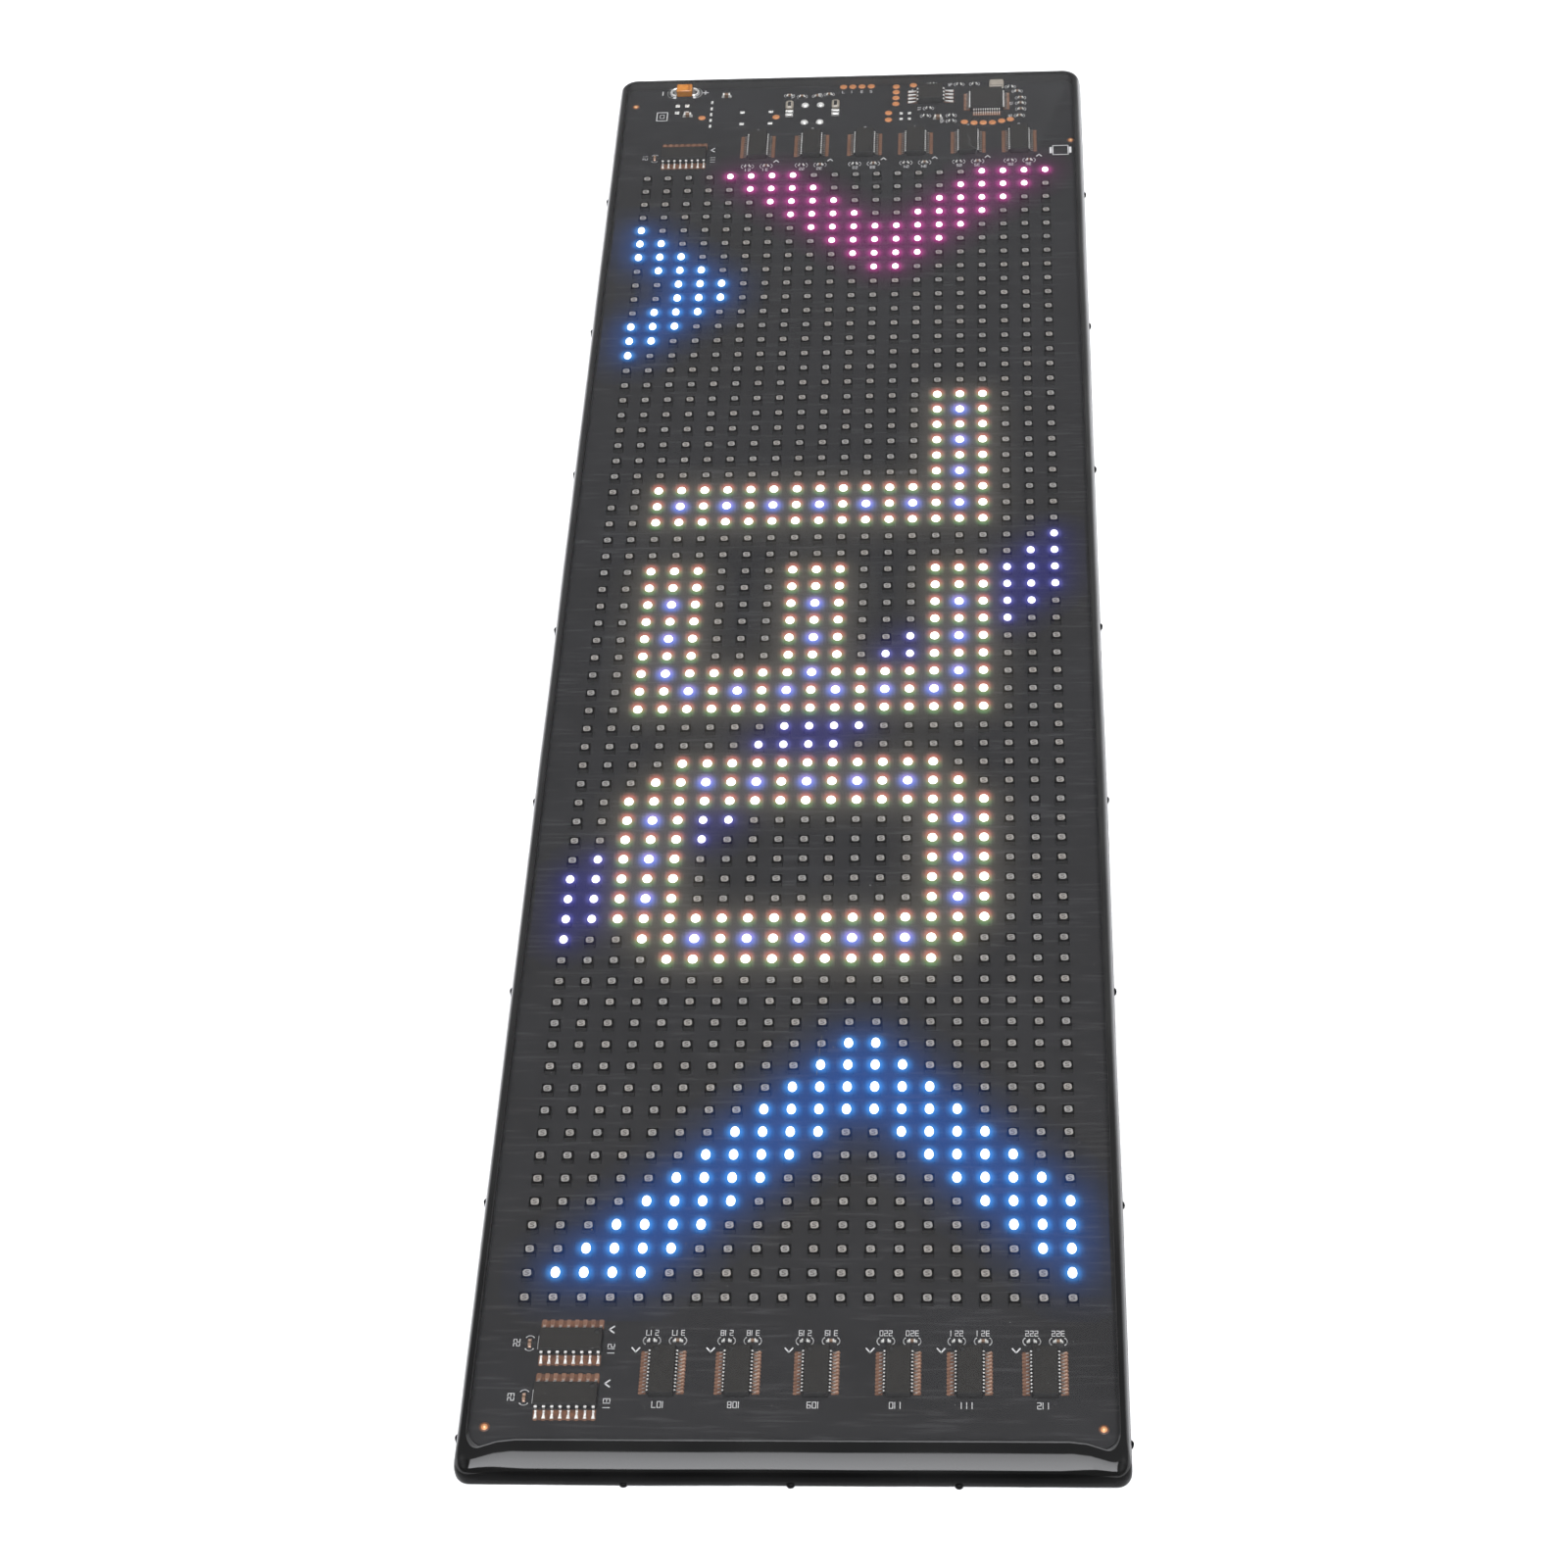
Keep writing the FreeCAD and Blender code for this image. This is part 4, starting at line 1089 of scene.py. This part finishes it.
def box_line(shape, x, y, width, length, thick=0.16):
    """The outline of a rectangle."""
    signs = ((-1, -1), (1, -1), (1, 1), (-1, 1), (-1, -1))
    ink_line(shape, [(x + sx * width / 2, y + sy * length / 2) for sx, sy in signs], thick)


# Small bare pads and marks of the far end: middle x and y, width and length
FAR_PADS = [
    *[(x, y, 0.95, 0.85) for x in (-37.9, -35.8) for y in (167.0, 164.5)],
    *[(-30.3, y, 0.5, 1.0) for y in (168.0, 165.7, 163.6, 161.5, 159.4)],
    *[(x, y, 1.0, 0.7) for x in (-23.4, -17.1) for y in (164.1, 159.9)],
    *[(x, y, 0.7, 0.7) for x in (11.65, 13.45) for y in (162.4, 160.4)],
]


def make_print():
    ink = Shape()
    for count in range(1, 13):
        x, y = node_middle(f"column_driver_{count}")
        if count <= 6:
            chevron(ink, x + 4.2, y - 5.1, 90, 0.55)
            numbers = ((20, -1.9, -8.0, 0.8), (30, 1.9, -8.0, 0.8), (0, 0.0, 6.0, 0.8))
        else:
            chevron(ink, x - 4.4, y + 4.05, -90)
            numbers = ((100, -0.2, -5.6, 1.05), (210, -2.0, 7.15, 0.9), (310, 2.05, 7.15, 0.9))
        for first, across, along, height in numbers:
            number(ink, first + count, x + across, y + along, height)
    for node in ("driver_resistors", "driver_capacitors"):
        for x, y, *_ in islands(node):
            brackets(ink, x, y)
    for x, y, *_ in islands("row_capacitors"):
        brackets(ink, x, y, upright=True)
    for node in ("controller_capacitors", "controller_resistors"):
        for count, (x, y, width, length, _) in enumerate(islands(node)):
            brackets(ink, x, y, 1.15, length > width, 0.6)
            if count % 2:
                number(ink, 40 + count, x + (2.0 if x > 38 else -2.0), y, 0.7, math.pi / 2, 0.12)
    for count in range(1, 4):
        x, y = node_middle(f"row_driver_{count}")
        chevron(ink, x + 6.15, y + 2.4, 180)
        number(ink, 110 + count, x + 6.3, y - 1.3, 1.0, math.pi / 2)
        if count > 1:
            ink_line(ink, [(x - 5.1, y - 1.1), (x - 5.1, y + 1.2)], 0.16)
        number(ink, 20 + count, x - 8.5, y, 0.95, math.pi / 2)
    for x, y, *_ in islands("test_pads"):
        if y > 168.5:
            number(ink, int(x) % 7 + 1, x, y - 1.9, 0.8)
    box_line(ink, -41.15, 163.3, 2.3, 3.0, 0.2)
    box_line(ink, -41.15, 163.3, 0.9, 1.2, 0.12)
    box_line(ink, 46.2, 148.0, 3.3, 3.2, 0.2)
    for sx in (-1, 1):
        ink_line(ink, [(46.2 + sx * 2.1, 147.2), (46.2 + sx * 2.1, 148.8)], 0.5)
    x, y = node_middle("input_capacitor")
    ink_line(ink, [(x - 4.9, y - 0.6), (x - 4.9, y + 0.6)], 0.2)
    ink_line(ink, [(x + 4.0, y), (x + 5.2, y)], 0.2)
    ink_line(ink, [(x + 4.6, y - 0.6), (x + 4.6, y + 0.6)], 0.2)
    for sign, start in ((-1, 100), (1, -80)):
        ink_line(ink, arc(x + sign * 1.9, y, 1.75, start, start + 160, 8), 0.55)
    ink.piece("board_print", [INK], slot="board")
    pads = Shape()
    for x, y, width, length in FAR_PADS:
        seat(pads, x, y, width, length, 0.005, 0.14, 0.04)
    pads.piece("bare_tinned_pads", [SOLDER], slot="solder")


SPECKS, FIBRES, SPECK_THICK = 420, 60, 0.012
SCRATCHES = (
    ([(26.2, 151.5), (26.9, 149.2), (26.3, 148.4), (28.2, 146.2), (28.0, 144.6), (29.0, 143.9)], 0.09),
    ([(2.3, -93.5), (2.0, -97.5), (1.7, -101.5)], 0.06),
)


def make_dust():
    """Specks and short fibres on the clear surface, thicker at the near end, and two scratches."""
    chance = random.Random(11)
    shape = Shape()
    half = HALF_WIDTH - EDGE_ROLL - LIP - 1
    top = SURFACE + SPECK_THICK

    def somewhere():
        x = chance.uniform(-half, half)
        return x, HALF_LENGTH - 8 - (2 * HALF_LENGTH - 18) * chance.random() ** 0.55

    for _ in range(SPECKS):
        x, y = somewhere()
        size = 0.035 + 0.1 * chance.random() ** 3
        turn = chance.uniform(0, TAU)
        points = [
            (x + size * chance.uniform(0.6, 1.3) * math.cos(turn + TAU * k / 5),
             y + size * chance.uniform(0.6, 1.3) * math.sin(turn + TAU * k / 5)) for k in range(5)
        ]
        loft(shape, [[(*point, z) for point in points] for z in (SURFACE, top)])
    for _ in range(FIBRES):
        x, y = somewhere()
        start, bend = chance.uniform(0, 360), chance.uniform(40, 130)
        radius = chance.uniform(0.3, 1.3)
        stroke(shape, arc(x, y, radius, start, start + bend * 0.5, 4), 0.035, SURFACE, top)
    for points, width in SCRATCHES:
        stroke(shape, points, width, SURFACE, top)
    shape.piece("specks_of_dust", [DUST], slot="clear_gel")


make_moulding()
make_gel()
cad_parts["flex_board"].material_slots[0].material = COVER_FILM
make_leds()
make_lights()
make_glow()
make_chips()
make_small_parts()
make_input_capacitor()
make_copper()
OPENINGS.piece("bare_base_film", [AMBER], slot="board")
PADS.piece("chip_pads", [PAD_METAL], slot="copper")
make_print()
make_dust()


# Floor, light and camera

# Each light of the studio: how bright it is by degrees from the far horizon, over the top, to the
# near horizon, and what share of that there is from left to right
SKY = [
    ([(0, 1.0), (29, 1.0), (36, 0.42), (82, 0.42), (84, 0.02), (180, 0.02)], [(-0.85, 1), (0.9, 1)]),
    ([(0, 0), (82, 0), (84.5, 8.2), (110, 10.8), (136, 12.4), (139, 0)],
     [(-0.26, 0), (-0.19, 1), (0.3, 1), (0.36, 0)]),
    ([(0, 0), (70, 0), (80, 0.9), (130, 0.9), (145, 0.1), (170, 0.1), (177, 0.6)],
     [(-0.97, 0.25), (-0.75, 1), (-0.4, 0.02), (0.4, 0.02), (0.75, 1), (0.97, 0.25)]),
]
SKY_TINT = (0.985, 0.99, 1.02)
FLOOR_REACH, FLOOR_DROP = 6.0, 0.0002
LENS, SENSOR = 73.415, 36
CAMERA_PLACE = (0.0332, -0.41667, 0.42527)
CAMERA_RIGHT, CAMERA_FORWARD = (0.99755, 0.03924, -0.05793), (-0.06931, 0.66790, -0.74102)


def make_floor():
    mesh = bpy.data.meshes.new("floor")
    signs = ((-1, -1), (1, -1), (1, 1), (-1, 1))
    mesh.from_pydata([(x * FLOOR_REACH, y * FLOOR_REACH, -FLOOR_DROP) for x, y in signs], [], [(0, 1, 2, 3)])
    floor = bpy.data.objects.new("floor", mesh)
    bpy.context.scene.collection.objects.link(floor)
    mesh.materials.append(finish("white_floor", 0.88, 0.9, (0.6, 0.7), 3, specular=0.2))


def make_light():
    """Soft studio light: a pale wall beyond the far end, and a long soft box overhead."""
    world = bpy.data.worlds.new("studio")
    bpy.context.scene.world = world
    graph = Graph(world, "World")
    parts = graph.add("SeparateXYZ", {"Vector": graph.add("TexCoord").outputs["Generated"]}).outputs
    angle = graph.add("Math", {0: parts["Z"], 1: parts["Y"]}, operation="ARCTAN2")
    share = graph.add("Math", {0: angle, 1: math.pi}, operation="DIVIDE")
    across = graph.add("MapRange", {"From Min": -1, "From Max": 1, "Value": parts["X"]}).outputs["Result"]
    total = None
    for sky, sides in SKY:
        full = max(light for _, light in sky)
        along = graph.ramp(
            share, [(degrees / 180, [part * light / full for part in SKY_TINT]) for degrees, light in sky]
        )
        wide = graph.ramp(across, [((x + 1) / 2, light) for x, light in sides])
        lamp = graph.add("Background", {"Strength": full, "Color": graph.multiply(along, wide)})
        total = lamp if total is None else graph.add("AddShader", {0: total, 1: lamp})
    graph.show(total)


def make_camera():
    camera = bpy.data.cameras.new("camera")
    camera.lens = LENS
    camera.sensor_width = SENSOR
    item = bpy.data.objects.new("camera", camera)
    bpy.context.scene.collection.objects.link(item)
    right, forward = Vector(CAMERA_RIGHT).normalized(), Vector(CAMERA_FORWARD).normalized()
    up = right.cross(forward).normalized()
    right = forward.cross(up).normalized()
    turn = Matrix((right, up, -forward)).transposed().to_4x4()
    item.matrix_world = Matrix.Translation(CAMERA_PLACE) @ turn
    bpy.context.scene.camera = item


make_floor()
make_light()
make_camera()
bpy.context.scene.view_settings.view_transform = "Standard"
